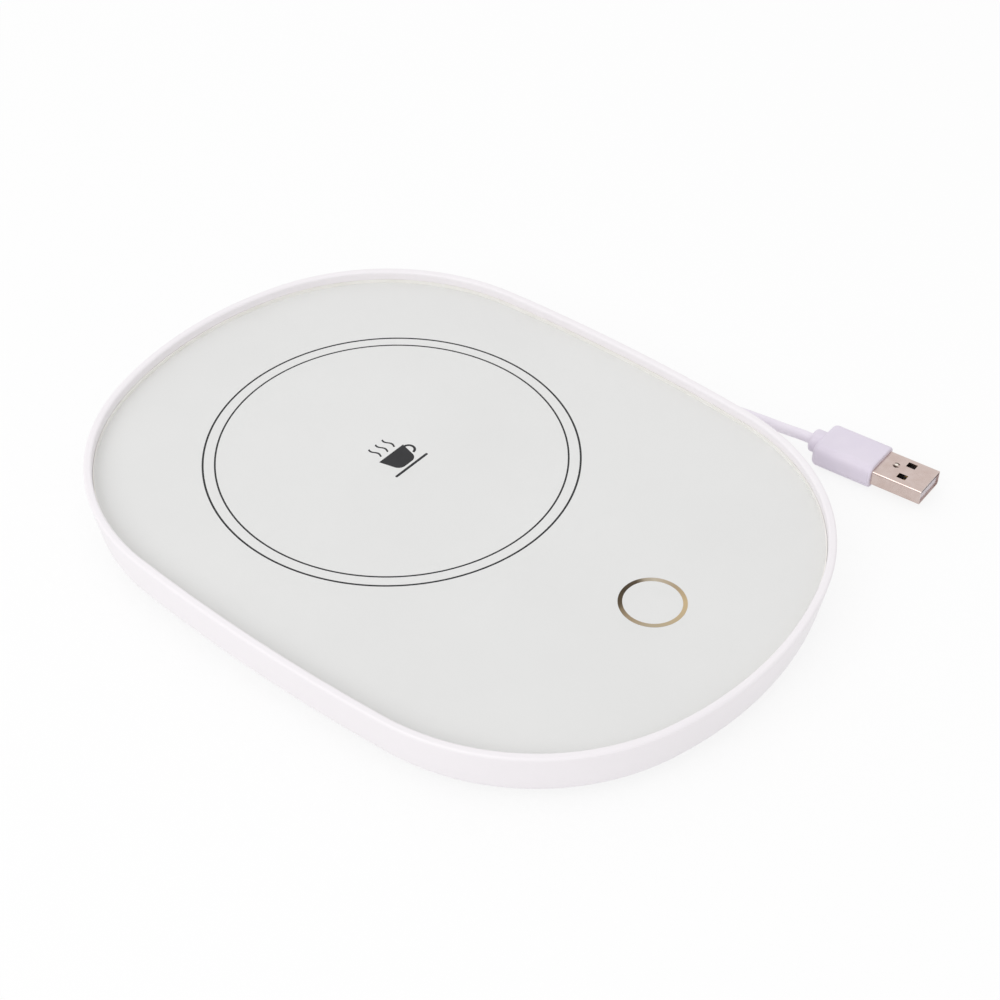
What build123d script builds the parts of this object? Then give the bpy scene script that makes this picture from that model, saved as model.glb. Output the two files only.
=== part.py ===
from build123d import *
import math
import os

# Electric mug warmer: a flat oval tray with a glass top, a round heating zone at one end
# and a touch key at the other. Millimetres. Origin on the table under the middle of the
# body, +Z up, +Y towards the heating end, -Y towards the user and the touch key.

# ---- body ----
body_length = 200.0
body_width = 150.0
side_radius = 540.0        # long sides are bowed very slightly
end_radius = 100.0
corner_radius = 62.0
wall_draft = 2.4           # how far the wall leans in from rim to base
base_radius = 2.6          # rounding of the lower edge
rim_width = 2.3
rim_radius = 0.7
rim_depth = 2.2            # the rim stands this far above the glass
deck_thickness = 1.6
cavity_inset = 5.6         # from the rim's outer face to the wall of the inner cavity

# ---- glass and what bonds it ----
glass_thickness = 3.0
glass_clearance = 0.35
glass_chamfer = 0.4
film_thickness = 0.3
film_inset = 0.8

# ---- heating zone, from the glass down ----
zone_inset = 78.6          # from the far end of the body to the middle of the zone
opening_radius = 47.5
spreader_gap = 1.5         # spreader's edge inside the opening
spreader_thickness = 1.5
spreader_chamfer = 0.3
foil_margin = 2.0          # foil's edge inside the spreader's
foil_thickness = 0.2
track_thickness = 0.1
track_width = 3.0
track_turns = 6
track_first_radius = 12.0
track_margin = 4.0         # from the centre line of the last turn to the foil's edge
track_gap = 7.0            # distance between the two ends of one turn of the track
lead_angle = -112.0        # where the track ends and its leads leave the zone
pad_margin = 1.0           # pad's edge inside the foil's
pad_thickness = 2.0
sensor_hole_radius = 3.5
clamp_margin = 2.0         # clamp plate's edge inside the pad's
clamp_thickness = 1.0
clamp_arm_width = 9.0
clamp_screw_offset = 5.5   # screws outside the opening
clamp_hole_radius = 7.5
clamp_hole_circle = 24.0
clamp_slot_width = 9.0
stack_floor_gap = 1.0      # between the clamp's screw heads and the base cover
fuse_offset = (16.0, 1.0)
fuse_radius = 1.1
fuse_length = 9.0
fuse_wire_radius = 0.3
fuse_fit = 0.4
bead_radius = 1.2
bead_stem_radius = 0.9

# ---- screws and bosses ----
boss_radius = 3.0
pilot_radius = 0.9
screw_radius = 0.85
head_radius = 1.9
head_height = 1.0
hole_clearance = 0.3
boss_end_wall = 0.7        # material left over the end of a blind hole
screw_tip_gap = 0.3

# ---- touch key and board ----
key_inset = 35.6           # from the near end of the body to the key
key_hole_radius = 6.0
spring_radius = 2.6
spring_wire = 0.5
spring_turns = 3.0
board_width = 52.0
board_length = 31.0
board_front_gap = 5.4      # from the cavity's near end to the board
board_thickness = 1.2
board_corner = 2.0
board_screw_inset = 4.0
lead_radius = 0.45
lead_gap = 0.05            # between the leads, the board above them and the ribs below

# ---- base cover, feet and cable pocket ----
cover_thickness = 2.0
cover_clearance = 0.25
cover_boss_radius = 4.2
cover_boss_height = 1.6
cover_seat_wall = 1.2      # material between a screw's seat and the top of its boss
cover_rib_width = 1.2
cover_rib_height = 0.6
rib_spacing_x = 36.0
rib_spacing_y = 44.0
counterbore_clearance = 0.6
foot_radius = 7.0
foot_taper = 0.7
foot_edge = 0.9
foot_recess = 0.6
foot_fit = 0.2
foot_lift = 0.5            # room over the cord under the base
foot_inset = 15.0          # from the body's outer edge to the middle of a foot
foot_angle = 39.3          # round the centre of a corner arc, from the body's cross axis
side_screw_inset = 13.0
side_screw_y = -20.0
pocket_x = 2.0
pocket_width = 12.0
pocket_to_board = 11.0
pocket_length = 20.0
pocket_headroom = 2.2      # over the grommet's flange
pocket_far_depth = 2.0
pocket_wall = 1.2

# ---- cord ----
cord_diameter = 3.0
coil_lift = 0.3            # the coil lies on its two ties
coil_x = -25.0
coil_y = 15.0
strand_gap = 0.1
lead_clearance = 0.6       # between a lead and the strands that it runs beside
coil_turns = 2             # turns of the inward arm
coil_fold_radius = 8.85    # each half of the S in the middle
coil_entry_angle = 0.0
coil_exit_angle = 75.0
tie_width = 4.0
tie_thickness = 0.25
tie_play = 0.03            # over and under the strands
tie_side_play = 0.1        # beside the outermost strand
tie_eye_play = 0.5         # beside the innermost strand, inside the eye of the coil
grommet_drop = 15.6        # degrees below level, towards +Y
grommet_exit_height = 0.7  # over the underside of the base
grommet_wall = 0.8         # round the cord at the tip of the nose
grommet_flange_wall = 1.5
grommet_length = 9.0
grommet_flange = 1.0
grommet_fit = 0.02
inner_cord_gap = 0.1       # under the cord inside the body
clamp_to_pocket = 5.6
cord_clamp_width = 4.6
cord_clamp_length = 18.0
cord_clamp_thickness = 1.1
cord_clamp_bite = 0.4      # the bar comes down this far past the cord's middle
clamp_post_offset = 5.0    # from the cord's side to the middle of a post
clamp_post_radius = 2.4

# ---- plug ----
plug_x = 90.89             # where the metal shell leaves the moulded grip
plug_y = -73.75
plug_yaw = -84.5
plug_roll = -5.0
plug_table_gap = 0.03
shell_width = 12.0
shell_height = 4.5
shell_length = 14.5
shell_wall = 0.3
shell_corner = 0.7
shell_buried = 4.0
shell_seam = 0.12
latch_hole_x = 7.5
latch_hole_y = 3.0
latch_hole_length = 2.6
latch_hole_width = 2.2
dimple_x = 4.0
dimple_sphere = 1.0
dimple_depth = 0.15
tongue_thickness = 1.85
tongue_setback = 0.6
contact_width = 1.0
contact_length = 7.4
contact_step = 1.0         # the inner two contacts are shorter by this
contact_thickness = 0.15
contact_spacing = 2.3
contact_setback = 1.6
grip_width = 14.4
grip_height = 7.2
grip_length = 17.7
grip_edge = 2.6
grip_shoulder = 1.7
grip_mouth_edge = 0.5
collar_length = 3.0
collar_width = 7.2
collar_height = 6.2
collar_edge = 0.9

# ---- heights, built up from the table ----
cord_radius = cord_diameter / 2
coil_z = cord_radius + coil_lift
base_z = coil_lift + cord_diameter + foot_lift
cover_top = base_z + cover_thickness
clamp_bottom = cover_top + stack_floor_gap + head_height
pad_bottom = clamp_bottom + clamp_thickness
track_bottom = pad_bottom + pad_thickness
foil_bottom = track_bottom + track_thickness
spreader_bottom = foil_bottom + foil_thickness
glass_bottom = spreader_bottom + spreader_thickness
deck_top = glass_bottom - film_thickness
deck_bottom = deck_top - deck_thickness
glass_top = glass_bottom + glass_thickness
rim_z = glass_top + rim_depth
body_height = rim_z - base_z
lead_z = cover_top + cover_rib_height + lead_gap + lead_radius
board_bottom = lead_z + lead_radius + lead_gap
board_top = board_bottom + board_thickness
cover_boss_top = cover_top + cover_boss_height
cover_seat = cover_boss_top - cover_seat_wall
hole_end = deck_top - boss_end_wall
screw_tip = hole_end - screw_tip_gap

# ---- outline of the body: arc centres, and the angles at which the arcs meet ----
side_centre = side_radius - body_width / 2
end_centre = body_length / 2 - end_radius
side_to_corner = side_radius - corner_radius
end_to_corner = end_radius - corner_radius
centre_span = math.hypot(side_centre, end_centre)
centre_tilt = math.atan2(end_centre, side_centre)
along = (side_to_corner**2 - end_to_corner**2 + centre_span**2) / (2 * centre_span)
aside = math.sqrt(side_to_corner**2 - along**2)
corner_x = along * math.cos(centre_tilt) - aside * math.sin(centre_tilt) - side_centre
corner_y = along * math.sin(centre_tilt) + aside * math.cos(centre_tilt)
side_turn = math.degrees(math.atan2(corner_y, corner_x + side_centre))
end_turn = math.degrees(math.atan2(corner_y - end_centre, corner_x))

# ---- plan places, measured in from the edges of the body ----
zone = (0.0, body_length / 2 - zone_inset)
spreader_radius = opening_radius - spreader_gap
foil_radius = spreader_radius - foil_margin
track_pitch = (foil_radius - track_margin - track_first_radius) / (track_turns - 1)
pad_radius = foil_radius - pad_margin
clamp_plate_radius = pad_radius - clamp_margin
clamp_screw_radius = opening_radius + clamp_screw_offset
clamp_angles = (45.0, 135.0, 225.0, 315.0)
fuse_place = (zone[0] + fuse_offset[0], zone[1] + fuse_offset[1])
key_y = key_inset - body_length / 2
board_y = cavity_inset + board_front_gap + board_length / 2 - body_length / 2
board_rear_y = board_y + board_length / 2
pocket_start_y = board_rear_y + pocket_to_board
pocket_end_y = pocket_start_y + pocket_length
foot_reach = corner_radius - foot_inset
foot_x = corner_x + foot_reach * math.cos(math.radians(foot_angle))
foot_y = corner_y + foot_reach * math.sin(math.radians(foot_angle))
foot_names = {
    "foot_front_left": (-foot_x, -foot_y),
    "foot_front_right": (foot_x, -foot_y),
    "foot_rear_left": (-foot_x, foot_y),
    "foot_rear_right": (foot_x, foot_y),
}
side_screw_x = body_width / 2 - side_screw_inset
cover_points = list(foot_names.values()) + [(-side_screw_x, side_screw_y), (side_screw_x, side_screw_y)]
board_x = board_width / 2 - board_screw_inset
board_screw_y = board_length / 2 - board_screw_inset
board_points = [(sx * board_x, board_y + sy * board_screw_y) for sx in (-1, 1) for sy in (-1, 1)]


def polar(centre, radius, angle):
    """Point at a radius and an angle in degrees from a centre in plan."""
    turn = math.radians(angle)
    return (centre[0] + radius * math.cos(turn), centre[1] + radius * math.sin(turn))


clamp_points = [polar(zone, clamp_screw_radius, angle) for angle in clamp_angles]


def disc(centre, radius, low, high):
    """Upright cylinder between two heights."""
    here = Pos(centre[0], centre[1], low)
    return here * Cylinder(radius, high - low, align=(Align.CENTER, Align.CENTER, Align.MIN))


def slab(centre, size, low, high):
    """Upright block between two heights, on a plan centre and plan size."""
    here = Pos(centre[0], centre[1], low)
    return here * Box(size[0], size[1], high - low, align=(Align.CENTER, Align.CENTER, Align.MIN))


def oval(inset=0.0):
    """The body's plan: a four-centre oval of tangent arcs, moved inwards by inset."""
    corner_turn = end_turn - side_turn
    arcs = []
    for sign, start in ((1, 0), (-1, 180)):
        arcs.append(CenterArc((-sign * side_centre, 0), side_radius - inset,
                              start - side_turn, 2 * side_turn))
        arcs.append(CenterArc((sign * corner_x, sign * corner_y), corner_radius - inset,
                              start + side_turn, corner_turn))
        arcs.append(CenterArc((0, sign * end_centre), end_radius - inset,
                              start + end_turn, 180 - 2 * end_turn))
        arcs.append(CenterArc((-sign * corner_x, sign * corner_y), corner_radius - inset,
                              start + 180 - end_turn, corner_turn))
    return make_face(Wire(arcs))


def oval_plate(inset, low, high):
    """The oval as a plate between two heights."""
    return extrude(Pos(0, 0, low) * oval(inset), high - low)


def housing():
    """One white moulding: tapered wall, rim, and a deck that carries the glass."""
    lean = math.degrees(math.atan(wall_draft / body_height))
    body = extrude(Pos(0, 0, rim_z) * oval(), amount=body_height, dir=(0, 0, -1), taper=lean)
    body = fillet(body.edges().group_by(Axis.Z)[0], base_radius)
    body -= oval_plate(rim_width, deck_top, rim_z + 1)
    body -= oval_plate(cavity_inset, base_z - 1, deck_bottom)
    body = fillet(body.edges().group_by(Axis.Z)[-1], rim_radius)
    for point in cover_points:
        body += disc(point, boss_radius, cover_boss_top, deck_bottom)
    for point in clamp_points:
        body += disc(point, boss_radius, pad_bottom, deck_bottom)
    for point in board_points:
        body += disc(point, boss_radius, board_top, deck_bottom)
    body -= disc(zone, opening_radius, deck_bottom - 1, deck_top + 1)
    body -= disc((0, key_y), key_hole_radius, deck_bottom - 1, deck_top + 1)
    for point in cover_points:
        body -= disc(point, pilot_radius, cover_boss_top - 1, hole_end)
    for point in clamp_points:
        body -= disc(point, pilot_radius, pad_bottom - 1, hole_end)
    for point in board_points:
        body -= disc(point, pilot_radius, board_top - 1, hole_end)
    return body


def glass_panel():
    """Flat toughened glass inside the rim, with ground top edges."""
    glass = oval_plate(rim_width + glass_clearance, glass_bottom, glass_top)
    return chamfer(glass.edges().group_by(Axis.Z)[-1], glass_chamfer)


def glass_adhesive():
    """Die-cut film between the glass and the deck, open at the heating zone and the key."""
    film = oval_plate(rim_width + glass_clearance + film_inset, deck_top, glass_bottom)
    film -= disc(zone, opening_radius, deck_top - 1, glass_bottom + 1)
    film -= disc((0, key_y), key_hole_radius, deck_top - 1, glass_bottom + 1)
    return film


def heat_spreader():
    """Aluminium disc bonded under the glass."""
    plate = disc(zone, spreader_radius, spreader_bottom, glass_bottom)
    return chamfer(plate.edges().group_by(Axis.Z)[0], spreader_chamfer)


def track_radius(turn):
    """Centre-line radius of one turn of the heating track."""
    return track_first_radius + turn * track_pitch


def heater_foil():
    """Polyimide foil with its etched track: arcs joined in turn at the two sides of a gap."""
    foil = disc(zone, foil_radius, foil_bottom, spreader_bottom)
    half = track_width / 2
    track = None
    for turn in range(track_turns):
        radius = track_radius(turn)
        ring = disc(zone, radius + half, track_bottom, foil_bottom)
        ring -= disc(zone, radius - half, track_bottom - 1, foil_bottom + 1)
        gap = Rot(0, 0, lead_angle) * slab((radius, 0), (2 * track_width, track_gap),
                                           track_bottom - 1, foil_bottom + 1)
        ring -= Pos(zone[0], zone[1], 0) * gap
        track = ring if track is None else track + ring
    for turn in range(track_turns - 1):
        side = 1 if turn % 2 else -1
        middle = track_radius(turn) + track_pitch / 2
        bridge = slab((middle, side * (track_gap + track_width) / 2),
                      (track_pitch + track_width / 2, track_width), track_bottom, foil_bottom)
        track += Pos(zone[0], zone[1], 0) * Rot(0, 0, lead_angle) * bridge
    foil += track
    foil -= disc(zone, sensor_hole_radius, track_bottom - 1, spreader_bottom + 1)
    foil -= slab(fuse_place, (fuse_length + fuse_fit, 2 * fuse_radius + fuse_fit),
                 track_bottom - 1, spreader_bottom + 1)
    return foil


def lead_slot(low, high):
    """Radial slot through which the heater leads leave the zone."""
    reach = pad_radius - track_radius(track_turns - 1) + track_width + 6
    centre = pad_radius + 1 - reach / 2
    slot = Rot(0, 0, lead_angle) * slab((centre, 0), (reach, clamp_slot_width), low, high)
    return Pos(zone[0], zone[1], 0) * slot


def insulation_pad():
    """Felt disc under the foil, cut out for the sensor, the fuse and the leads."""
    pad = disc(zone, pad_radius, pad_bottom, track_bottom)
    pad -= disc(zone, sensor_hole_radius, pad_bottom - 1, track_bottom + 1)
    pad -= slab(fuse_place, (fuse_length + fuse_fit, 2 * fuse_radius + fuse_fit),
                pad_bottom - 1, track_bottom + 1)
    pad -= lead_slot(pad_bottom - 1, track_bottom + 1)
    return pad


def heater_clamp():
    """Pressed steel plate whose four arms hold the heating stack against the glass."""
    plate = disc(zone, clamp_plate_radius, clamp_bottom, pad_bottom)
    arm_length = clamp_screw_radius
    for angle, point in zip(clamp_angles, clamp_points):
        arm = Rot(0, 0, angle) * slab((arm_length / 2, 0), (arm_length, clamp_arm_width),
                                      clamp_bottom, pad_bottom)
        plate += Pos(zone[0], zone[1], 0) * arm
        plate += disc(point, clamp_arm_width / 2, clamp_bottom, pad_bottom)
    for angle in clamp_angles:
        vent = polar(zone, clamp_hole_circle, angle)
        plate -= disc(vent, clamp_hole_radius, clamp_bottom - 1, pad_bottom + 1)
    for point in clamp_points:
        plate -= disc(point, screw_radius + hole_clearance, clamp_bottom - 1, pad_bottom + 1)
    plate -= disc(zone, sensor_hole_radius, clamp_bottom - 1, pad_bottom + 1)
    plate -= lead_slot(clamp_bottom - 1, pad_bottom + 1)
    return plate


def screw(point, seat, tip):
    """Screw from its seat to its tip: a flat head and a plain shank."""
    crown = seat - head_height if tip > seat else seat + head_height
    head = disc(point, head_radius, min(seat, crown), max(seat, crown))
    return head + disc(point, screw_radius, min(seat, tip), max(seat, tip))


def clamp_screws():
    """Four screws through the clamp's arms."""
    return Compound([screw(point, clamp_bottom, screw_tip) for point in clamp_points])


def board_screws():
    """Four screws through the board's corners."""
    return Compound([screw(point, board_bottom, screw_tip) for point in board_points])


def cover_screws():
    """Six screws through the base cover, four of them under the feet."""
    return Compound([screw(point, cover_seat, screw_tip) for point in cover_points])


def thermistor():
    """Glass-bead sensor that touches the spreader through the hole in the pad."""
    middle = spreader_bottom - bead_radius
    bead = Pos(zone[0], zone[1], middle) * Sphere(bead_radius)
    return bead + disc(zone, bead_stem_radius, pad_bottom, middle)


def thermal_fuse():
    """One-shot fuse: a small can with a wire at each end, lying against the spreader."""
    can = Cylinder(fuse_radius, fuse_length - 1.0, rotation=(0, 90, 0))
    wire = Cylinder(fuse_wire_radius, fuse_length, rotation=(0, 90, 0))
    return Pos(fuse_place[0], fuse_place[1], spreader_bottom - fuse_radius) * (can + wire)


def control_board():
    """Fibreglass board under the key, held at its four corners."""
    board = slab((0, board_y), (board_width, board_length), board_bottom, board_top)
    board = fillet(board.edges().filter_by(Axis.Z), board_corner)
    for point in board_points:
        board -= disc(point, screw_radius + hole_clearance, board_bottom - 1, board_top + 1)
    return board


def microcontroller():
    """Eight-pin chip with bent legs and a mark at its first pin."""
    centre = (-11.0, key_y - 12.0)
    body_size = (5.0, 3.9)
    leg_pitch = 1.27
    leg_width = 0.4
    low = board_top + 0.15
    high = board_top + 1.5
    body = slab(centre, body_size, low, high)
    body -= disc((centre[0] - 1.8, centre[1] - 1.2), 0.35, high - 0.1, high + 1)
    for step in (-1.5, -0.5, 0.5, 1.5):
        for side in (-1, 1):
            x = centre[0] + step * leg_pitch
            body += slab((x, centre[1] + side * 2.4), (leg_width, 1.0), board_top, board_top + 0.25)
            body += slab((x, centre[1] + side * 2.0), (leg_width, 0.3), board_top, board_top + 0.9)
    return body


def power_transistor():
    """Flat power package with its metal tab and three legs."""
    centre = (12.0, key_y - 13.0)
    leg_top = board_top + 0.5
    body = slab(centre, (6.2, 5.4), board_top + 0.1, board_top + 1.7)
    body += slab((centre[0], centre[1] - 3.2), (5.2, 1.2), board_top, leg_top)
    for step in (-2.2, 0.0, 2.2):
        body += slab((centre[0] + step, centre[1] + 3.4), (0.7, 1.6), board_top, leg_top)
    return body


def chips(places, size, height):
    """Small two-ended parts on the board's upper face."""
    parts = []
    for place in places:
        body = slab(place, size, board_top, board_top + height)
        parts.append(chamfer(body.edges().group_by(Axis.Z)[-1], height * 0.12))
    return Compound(parts)


def capacitors():
    """Three ceramic capacitors near the supply leads."""
    places = [(-4.0 + 4.5 * step, board_y - 9.0) for step in range(3)]
    return chips(places, (2.5, 3.2), 1.4)


def resistors():
    """Six chip resistors round the controller."""
    places = [(-17.0 + 2.6 * step, board_y - 10.5) for step in range(3)]
    places += [(-20.0 + 2.6 * step, board_y + 2.0) for step in range(3)]
    return chips(places, (1.25, 2.0), 0.6)


def status_led():
    """Small lamp that glows through the key ring."""
    centre = (0.0, key_y + 4.3)
    base_top = board_top + 0.4
    body = slab(centre, (1.6, 0.8), board_top, base_top)
    return body + slab(centre, (1.0, 0.8), base_top, base_top + 0.3)


def touch_spring():
    """Sensing spring between the board and the glass: three turns with closed ends."""
    height = glass_bottom - board_top - spring_wire
    path = Helix(height / spring_turns, height, spring_radius)
    start = path @ 0
    profile = Plane(origin=start, z_dir=path % 0) * RegularPolygon(spring_wire / 2, 6)
    coil = sweep(profile, path=path, is_frenet=True)
    return Pos(0, key_y, board_top + spring_wire / 2) * coil


def lead(points):
    """Thin insulated wire along straight runs."""
    path = Polyline(*points)
    profile = Plane(origin=points[0], z_dir=path % 0) * Circle(lead_radius)
    return sweep(profile, path=path, transition=Transition.RIGHT)


def heater_leads():
    """Two insulated wires from the ends of the track to the board's underside."""
    wires = []
    start = track_radius(track_turns - 1)
    spacing = 2.6
    for side in (-1, 1):
        down = Vector(start, side * spacing, 0).rotate(Axis.Z, lead_angle)
        out = Vector(start + 6.0, side * spacing, 0).rotate(Axis.Z, lead_angle)
        x = zone[0] + down.X
        y = zone[1] + down.Y
        board_x_end = -13.0 + side * 1.2
        points = [
            (x, y, track_bottom),
            (x, y, lead_z + 0.7),
            (zone[0] + out.X, zone[1] + out.Y, lead_z),
            (board_x_end, board_rear_y + 5.0, lead_z),
            (board_x_end, board_rear_y - 3.0, lead_z),
        ]
        wires.append(lead(points))
    return Compound(wires)


def sensor_leads():
    """Two thin wires from the sensor to the board's underside."""
    wires = []
    turn_x = pocket_x - pocket_width / 2 - pocket_wall - 3.2
    for side in (-1, 1):
        offset = side * 0.6
        points = [
            (zone[0] + offset, zone[1], pad_bottom - 0.02),
            (zone[0] + offset, zone[1], lead_z),
            (zone[0] + offset, pocket_end_y + 18.4, lead_z),
            (turn_x + offset, pocket_end_y + 2.4, lead_z),
            (turn_x + offset, board_rear_y - 2.0, lead_z),
        ]
        wires.append(lead(points))
    return Compound(wires)


def pocket_profile(grow):
    """Side view of the cable pocket: deep at the grommet, shallow where the cord leaves."""
    start = pocket_start_y - grow
    end = pocket_end_y + grow
    level = pocket_length * 0.4
    side = Polyline((start, base_z - 1), (start, base_z + pocket_depth + grow),
                    (start + level, base_z + pocket_depth + grow),
                    (end, base_z + pocket_far_depth + grow), (end, base_z - 1), close=True)
    width = pocket_width + 2 * grow
    face = Plane.YZ.offset(pocket_x - width / 2) * make_face(side)
    return extrude(face, width)


def bottom_cover():
    """Base plate: screw bosses, shallow ribs, foot recesses and the cable pocket."""
    plate = oval_plate(cavity_inset + cover_clearance, base_z, cover_top)
    rib_top = cover_top + cover_rib_height
    for step in (-1, 0, 1):
        plate += slab((step * rib_spacing_x, 0), (cover_rib_width, 2 * foot_y), cover_top, rib_top)
        plate += slab((0, step * rib_spacing_y), (2 * foot_x + 20, cover_rib_width), cover_top, rib_top)
    for point in cover_points:
        plate += disc(point, cover_boss_radius, cover_top, cover_boss_top)
    shell = pocket_profile(pocket_wall)
    plate += shell & slab((pocket_x, 0), (body_width, body_length), base_z, rim_z)
    plate -= pocket_profile(0.0)
    for post in clamp_posts:
        plate += disc(post, clamp_post_radius, cover_top, cord_clamp_seat)
        plate -= disc(post, pilot_radius, clamp_hole_end, cord_clamp_seat + 1)
    plate += slab((pocket_x, cord_clamp_y), (cord_diameter + 1.6, cord_clamp_width), cover_top, inner_cord_z)
    plate -= cord_inner_path(cord_radius + grommet_fit)
    plate -= grommet_blank(grommet_fit)
    for point in foot_names.values():
        plate -= disc(point, foot_radius + foot_fit, base_z - 1, base_z + foot_recess)
    for point in cover_points:
        plate -= disc(point, head_radius + counterbore_clearance, base_z - 1, cover_seat)
        plate -= disc(point, screw_radius + hole_clearance, base_z, cover_boss_top + 1)
    return plate


def foot(point):
    """Silicone foot: a tapered puck with a rounded tread, glued into its recess."""
    puck = Solid.make_cone(foot_radius - foot_taper, foot_radius, base_z + foot_recess)
    puck = fillet(puck.edges().group_by(Axis.Z)[0], foot_edge)
    return Pos(point[0], point[1], 0) * puck


# ---- cord, grommet and inner clamp ----
inner_cord_z = cover_top + cord_radius + inner_cord_gap
cord_clamp_y = pocket_start_y - clamp_to_pocket
cord_clamp_seat = inner_cord_z + cord_clamp_bite
cord_clamp_top = inner_cord_z + cord_radius + cord_clamp_thickness
clamp_hole_end = base_z + boss_end_wall
clamp_posts = [(pocket_x + side * (cord_radius + clamp_post_offset), cord_clamp_y) for side in (-1, 1)]
grommet_nose_radius = cord_radius + grommet_wall
grommet_base_radius = cord_radius + grommet_flange_wall
pocket_depth = grommet_base_radius + pocket_headroom
grommet_slope = math.tan(math.radians(grommet_drop))
grommet_axis = Vector(0, 1, -grommet_slope).normalized()
grommet_exit = (pocket_x, pocket_start_y + grommet_length, base_z + grommet_exit_height)
grommet_start = Vector(*grommet_exit) - grommet_axis * (grommet_length + grommet_flange + pocket_wall)
inner_cord_end = (pocket_x, cord_clamp_y - 3.4, inner_cord_z)
inner_cord_rise = (inner_cord_z - grommet_exit[2]) / grommet_slope
inner_cord_knee = (pocket_x, grommet_exit[1] - inner_cord_rise, inner_cord_z)
inner_cord_bend = 6.0


def tube(points, radius, radii):
    """Cord section along straight runs joined by tangent arcs, one radius for each corner."""
    path = FilletPolyline(*points, radius=radii)
    profile = Plane(origin=points[0], z_dir=path % 0) * Circle(radius)
    return sweep(profile, path=path), path.length


def bend_radii(points):
    """Largest arcs that the runs allow: 0.45 of the shorter run over the tangent of half the turn."""
    radii = []
    for before, here, after in zip(points, points[1:], points[2:]):
        run_in = Vector(*here) - Vector(*before)
        run_out = Vector(*after) - Vector(*here)
        turn = math.radians(run_in.get_angle(run_out))
        radii.append(0.45 * min(run_in.length, run_out.length) / math.tan(turn / 2))
    return radii


def cord_inner_path(radius):
    """Stretch of the cord inside the body, from the board side of the clamp to the nose."""
    points = [inner_cord_end, inner_cord_knee, grommet_exit]
    return tube(points, radius, [inner_cord_bend])[0]


def grommet_blank(grow):
    """Grommet without its bore: neck in the pocket's end wall and a flange on each side."""
    plane = Plane(origin=grommet_start, x_dir=(1, 0, 0), z_dir=grommet_axis)
    wall_gap = pocket_wall / math.cos(math.radians(grommet_drop))
    upright = (Align.CENTER, Align.CENTER, Align.MIN)
    inner_flange = Cylinder(grommet_base_radius + grow, grommet_flange + grow, align=upright)
    neck = Cylinder(grommet_nose_radius + grow, grommet_flange + wall_gap + 0.5, align=upright)
    nose = Solid.make_cone(grommet_base_radius + grow, grommet_nose_radius + grow - 0.2,
                           grommet_length - 0.3)
    nose = Pos(0, 0, grommet_flange + wall_gap + 0.2) * nose
    return plane * (inner_flange + neck + nose)


def cord_grommet():
    """Moulded strain relief: flanged neck and a tapered nose with relief grooves."""
    grommet = grommet_blank(0.0)
    plane = Plane(origin=grommet_exit, x_dir=(1, 0, 0), z_dir=grommet_axis)
    groove_depth = 0.5
    for step in range(2):
        groove = Cylinder(4, 0.7) - Cylinder(cord_radius + groove_depth + 0.12 * step, 2)
        grommet -= plane * Pos(0, 0, -1.8 - 2.2 * step) * groove
    grommet &= plane * Pos(0, 0, -15) * Box(20, 20, 30)
    return grommet - cord_inner_path(cord_radius)


def cord_inner():
    """The cord where it runs through the grommet and under its clamp."""
    return cord_inner_path(cord_radius)


def cord_clamp():
    """Plastic bar that presses the cord on to its saddle."""
    low = cord_clamp_seat
    high = cord_clamp_top
    bar = slab((pocket_x, cord_clamp_y), (cord_clamp_length, cord_clamp_width), low, high)
    bar = fillet(bar.edges().filter_by(Axis.Z), cord_clamp_width * 0.4)
    for post in clamp_posts:
        bar -= disc(post, screw_radius + hole_clearance, low - 1, high + 1)
        bar -= disc(post, head_radius + 0.2, high - head_height, high + 1)
    return bar - cord_inner_path(cord_radius)


def cord_clamp_screws():
    """Two screws driven down into the clamp's posts."""
    seat = cord_clamp_top - head_height
    return Compound([screw(post, seat, clamp_hole_end + screw_tip_gap) for post in clamp_posts])


def supply_leads():
    """The cord's two cores, from the end of its jacket to the board's underside."""
    wires = []
    for side in (-1, 1):
        x = inner_cord_end[0] + side * 0.7
        points = [
            (x, inner_cord_end[1] - 0.02, lead_z + 0.15),
            (x + side * 0.2, board_rear_y - 0.5, lead_z),
            (x + side * 1.2, board_rear_y - 6.0, lead_z),
        ]
        wires.append(lead(points))
    return Compound(wires)


# ---- free cord: a lead in, a flat double coil held by two ties, and a lead out to the plug ----
# The cord winds inwards, turns back through an S of two half circles, and winds outwards
# between its own turns, so the strands of both arms lie one pitch apart.
coil_centre = (coil_x, coil_y)
coil_pitch = cord_diameter + strand_gap
coil_entry_radius = 2 * coil_fold_radius + 2 * coil_pitch * coil_turns
coil_exit_turns = coil_turns + (180 - coil_exit_angle) / 360
coil_outer_radius = 2 * coil_fold_radius + 2 * coil_pitch * coil_exit_turns
tie_start = 2 * coil_fold_radius - cord_radius - tie_eye_play
tie_end = coil_entry_radius + cord_radius + tie_side_play
coil_entry = polar(coil_centre, coil_entry_radius, coil_entry_angle)
coil_exit = polar(coil_centre, coil_outer_radius, coil_exit_angle)

plug_turn = math.radians(plug_yaw)
plug_tilt = math.radians(abs(plug_roll))
plug_axis = Vector(math.cos(plug_turn), math.sin(plug_turn), 0)
plug_z = ((grip_width / 2 - grip_edge) * math.sin(plug_tilt)
          + (grip_height / 2 - grip_edge) * math.cos(plug_tilt) + grip_edge + plug_table_gap)
plug_base = Vector(plug_x, plug_y, plug_z)
plug_tail = plug_base - plug_axis * (grip_length + collar_length)

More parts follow.
